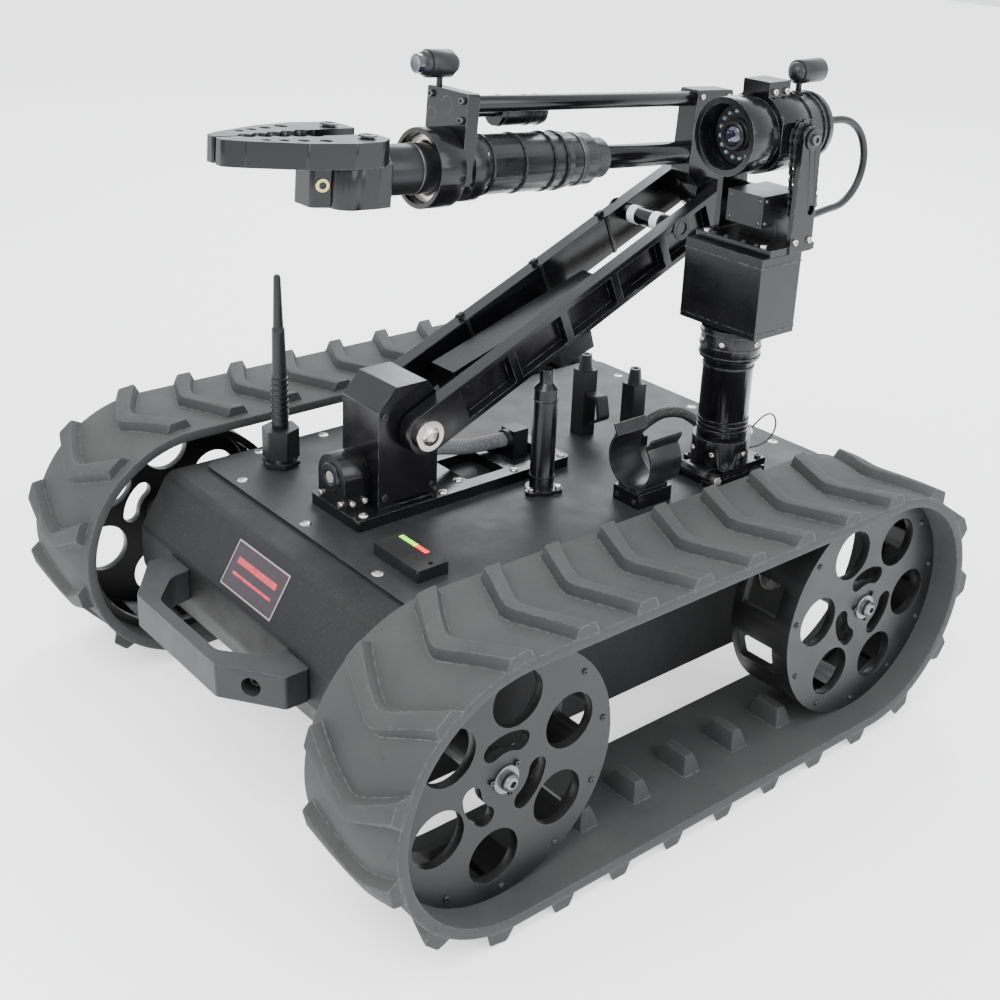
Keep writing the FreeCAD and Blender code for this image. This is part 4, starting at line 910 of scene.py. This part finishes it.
def add_deck_details(finishes):
    """Ribs on the antenna, bolts in the handle, the gear housing's cap, and the post's screws."""
    ribs = [on((ANTENNA_X, ANTENNA_Y, 246 + 5.2 * i), (0, 0, 1)) for i in range(9)]
    rings("antenna_ribs", "chassis", finishes["antenna_plastic"], "antenna_plastic", ribs,
          [(5.4, 0), (7.7, 0.3), (7.9, 1.3), (7.7, 2.3), (5.4, 2.6)], 32)
    nut = Piece()
    nut.lathe(millimetres([(15.8, 0, HEX), (17.4, 0.8, HEX), (17.4, 4.2, HEX), (15.8, 5, HEX)]),
              facing(Vector((ANTENNA_X, ANTENNA_Y, 208)) * MM, (0, 0, 1), 0.2), 48)
    nut.finish("gland_nut", "chassis", "antenna_plastic", finishes["antenna_plastic"])
    bolts = []
    for side in SIDES.values():
        inward = Vector((-math.cos(math.radians(36)), -side * math.sin(math.radians(36)), 0))
        bolts.append(facing(Vector((310, side * 92, 140)) * MM + inward * 22 * MM, -inward))
    heads("handle_bolts", "chassis", finishes["dull_steel"], "bright_steel", bolts, 6.0, 4.0)
    rings("gear_cap", "chassis", finishes["black_anodised"], "black_anodised",
          [on((172, -4, 242.5), (1, 0, 0))],
          [(5.1, 0), (12.5, 0), (12.5, 1.2), (11.4, 2.0), (7.2, 2.0), (6.2, 1.2), (5.1, 1.2)], 48)
    gear = [on((172, y, 223), (1, 0, 0)) for y in (-18.5, 10.5)]
    gear += [on((x, 15.5, 224), (0, 1, 0)) for x in (153, 165)]
    heads("gear_screws", "chassis", finishes["bright_steel"], "black_anodised", gear, 2.8, 2.4)
    ears = [on((POST_X + x, POST_Y + y, 211), (0, 0, 1)) for x, y in around(3, 14.6, 1 / 12)]
    heads("post_screws", "chassis", finishes["bright_steel"], "black_anodised", ears, 2.7, 2.6)
    rings("post_bands", "chassis", finishes["black_anodised"], "black_anodised",
          [on((POST_X, POST_Y, z), (0, 0, 1)) for z in (222, 292)],
          [(10.5, 0), (11.0, 0.2), (11.1, 0.8), (11.0, 1.4), (10.5, 1.6)], 40)
    side_screws = [on((x, 26, z), (0, 1, 0)) for x in (92, 140) for z in (226, 298)]
    side_screws += [on((x, -26, z), (0, -1, 0)) for x in (92, 140) for z in (226, 298)]
    heads("pedestal_screws", "chassis", finishes["black_steel"], "black_anodised", side_screws, 2.9, 1.6)
    rings("shoulder_bearings", "chassis", finishes["black_steel"], "black_anodised",
          [on((109, 26, 281), (0, 1, 0)), on((109, -26, 281), (0, -1, 0))], washer(10.3, 15.5, 1.5), 48)
    clip = [on((-44, y, 213), (1, 0, 0)) for y in (111, 132)]
    heads("clip_screws", "chassis", finishes["black_steel"], "black_anodised", clip, 2.2, 1.2)
    boot = on((-23, -12, 226), (1, 0, 0))
    rings("sleeve_boots", "chassis", finishes["antenna_plastic"], "antenna_plastic",
          [boot, on((80, -8.3, 241.7), (1, 0.05, 0.07))], washer(7.0, 9.0, 5.0), 36)


def tie(piece, base, x, y, z, wide, tall):
    """A cable tie round a bar that lies along a frame's X, with its square head on top."""
    place = base @ Matrix.Translation(Vector((x, y, z)) * MM) @ Matrix.Rotation(math.pi / 2, 4, "Y")
    inner = rectangle((tall + 0.2) * MM, (wide + 0.2) * MM, 0.6 * MM)
    outer = rectangle((tall + 2.2) * MM, (wide + 2.2) * MM, 1.4 * MM)
    piece.band(inner, outer, 3.6 * MM, place)
    piece.box((5.4 * MM, 4.6 * MM, 4.0 * MM), base @ Matrix.Translation(
        Vector((x, y, z + tall / 2 + 2.6)) * MM))


def add_arm_details(finishes):
    """Pivot heads, ties, tape bands, motor rings, the wrist's bearing and the gripper's screws."""
    pivots = [local(ARM, (0, 47, 0), (0, 1, 0)), local(ARM, (0, -46, 0), (0, -1, 0))]
    pivots += [local(ARM, (-380, side * 46, 0), (0, side, 0)) for side in (1, -1)]
    heads("arm_pivot_heads", "upper_arm", finishes["bright_steel"], "bright_steel", pivots, 8.2, 3.0, True)
    rings("arm_pivot_washers", "upper_arm", finishes["black_steel"], "bright_steel",
          [local(ARM, (-380, side * 42, 0), (0, side, 0)) for side in (1, -1)]
          + [local(ARM, (-310, side * 42, 10), (0, side, 0)) for side in (1, -1)], washer(6.0, 10.5, 1.4), 40)
    rings("rod_tape", "upper_arm", finishes["white_tape"], "black_anodised",
          [local(ARM, (-310, y, 10), (0, 1, 0)) for y in (-20, 9)], washer(8.0, 8.5, 9.0), 40)
    ties = Piece()
    for x in (-110, -200, -285):
        tie(ties, ARM, x, -35, 0, 14, 38)
    ties.finish("arm_ties", "upper_arm", "black_anodised", finishes["antenna_plastic"], bevel=0.3 * MM)
    body = [local(ACTUATOR, (x, 15, -34 + dz), (0, 1, 0)) for x in (152, 316) for dz in (-10, 10)]
    body += [local(ACTUATOR, (x, -15, -34 + dz), (0, -1, 0)) for x in (152, 316) for dz in (-10, 10)]
    heads("actuator_screws", "upper_arm", finishes["black_steel"], "motor_black", body, 2.5, 1.6)
    rings("wrist_motor_rings", "forearm", finishes["motor_black"], "motor_black",
          [local(FORE, (x, 0, 0), (1, 0, 0)) for x in (194, 208, 240, 274)],
          [(24.4, 0), (25.3, 0.2), (25.5, 1.2), (25.3, 2.2), (24.4, 2.4)], 64)
    rings("wrist_motor_strap", "forearm", finishes["dull_steel"], "motor_black",
          [local(FORE, (170, 0, 0), (1, 0, 0))], washer(22.4, 23.1, 5.0), 64)
    rings("gripper_motor_rings", "forearm", finishes["motor_black"], "motor_black",
          [local(FORE, (x, -19, 40), (1, 0, 0)) for x in (199, 212, 240)],
          [(12.4, 0), (13.1, 0.2), (13.2, 0.9), (13.1, 1.6), (12.4, 1.8)], 48)
    flange = [local(FORE, (284, y, z), (-1, 0, 0)) for y, z in around(6, 25.9, 0.5)]
    heads("motor_flange_screws", "forearm", finishes["bright_steel"], "motor_black", flange, 1.9, 1.8)
    plate = [local(FORE, (310, y, z), (1, 0, 0))
             for y, z in ((20, 40), (20, 55), (-20, 55), (21, -13), (-21, -13))]
    heads("bracket_screws", "forearm", finishes["dull_steel"], "black_anodised", plate, 2.9, 2.6)
    rings("wrist_bearing", "forearm", finishes["bright_steel"], "bright_steel",
          [local(FORE, (322, 0, 0), (1, 0, 0))],
          [(20.4, 0), (27.9, 0), (27.9, 5.0), (26.9, 5.6), (26.2, 4.4), (22.4, 4.4), (21.8, 5.6), (20.4, 5.0)], 72)
    block_screws = [local(FORE, (x, side * 11, z), (0, side, 0)) for side in (1, -1)
                    for x, z in ((-8, 52), (27, 52), (27, 16), (-8, 16))]
    heads("elbow_screws", "forearm", finishes["bright_steel"], "black_anodised", block_screws, 2.5, 1.6)
    lens = Piece()
    lens.lathe(millimetres([(7.6, -4), (7.6, 1.4), (6.4, 2.0), (4.6, 1.4), (0.4, 1.6)]),
               local(FORE, (331, -14, 79), (1, 0, 0)), 32)
    lens.finish("arm_camera_glass", "forearm", "lens_glass", finishes["lens_glass"])
    pivot_heads = [local(FORE, (402, side * 26, 32.2), (0, 0, 1)) for side in (1, -1)]
    heads("jaw_pivot_heads", "wrist", finishes["dull_steel"], "black_anodised", pivot_heads, 7.0, 1.2)
    rings("gripper_bush", "wrist", finishes["brass"], "black_anodised",
          [local(FORE, (432, 14.8, -5), (0.34, 0.94, 0))], washer(2.8, 5.4, 1.2), 36)
    small = [local(FORE, (x, y, 11.2), (0, 0, 1)) for x, y in ((383, 21), (383, -21), (428, 0))]
    heads("gripper_screws", "wrist", finishes["bright_steel"], "black_anodised", small, 2.2, 0.5)
    rings("wrist_rings", "wrist", finishes["dull_steel"], "black_steel",
          [local(FORE, (x, 0, 0), (1, 0, 0)) for x in (341, 373)], washer(19.9, 20.6, 1.6), 56)


def add_everything():
    """Adds every piece of the robot."""
    finishes = make_finishes()
    for row in frame["record"]["subparts"]:
        node = frame["nodes"][row["node"]]
        node.data.materials.clear()
        node.data.materials.append(finishes[row["material_slot"]])
        soften(node, 0.5 * MM, weld=True)
    add_cords(finishes)
    for side_name, side in SIDES.items():
        add_track(side_name, side, finishes)
        for end_name in ("front", "rear"):
            add_wheel_details(end_name, side_name, side, finishes)
    add_screws(finishes)
    add_labels(finishes)
    add_lamps()
    add_chain(finishes)
    add_camera_head(finishes)
    add_mast_details(finishes)
    add_deck_details(finishes)
    add_arm_details(finishes)


add_camera()
add_light("key", (1.6, 0.6, 2.2), (0, 0, 0.2), 1.6, 60, (1, 0.99, 0.97))
add_light("left_fill", (-0.4, 2.6, 1.5), (0, 0, 0.2), 1.8, 42, (0.93, 0.96, 1))
add_light("back", (-1.8, -1.6, 2.0), (0, 0, 0.3), 1.5, 45, (0.95, 0.97, 1))
add_world()
add_floor()
add_everything()
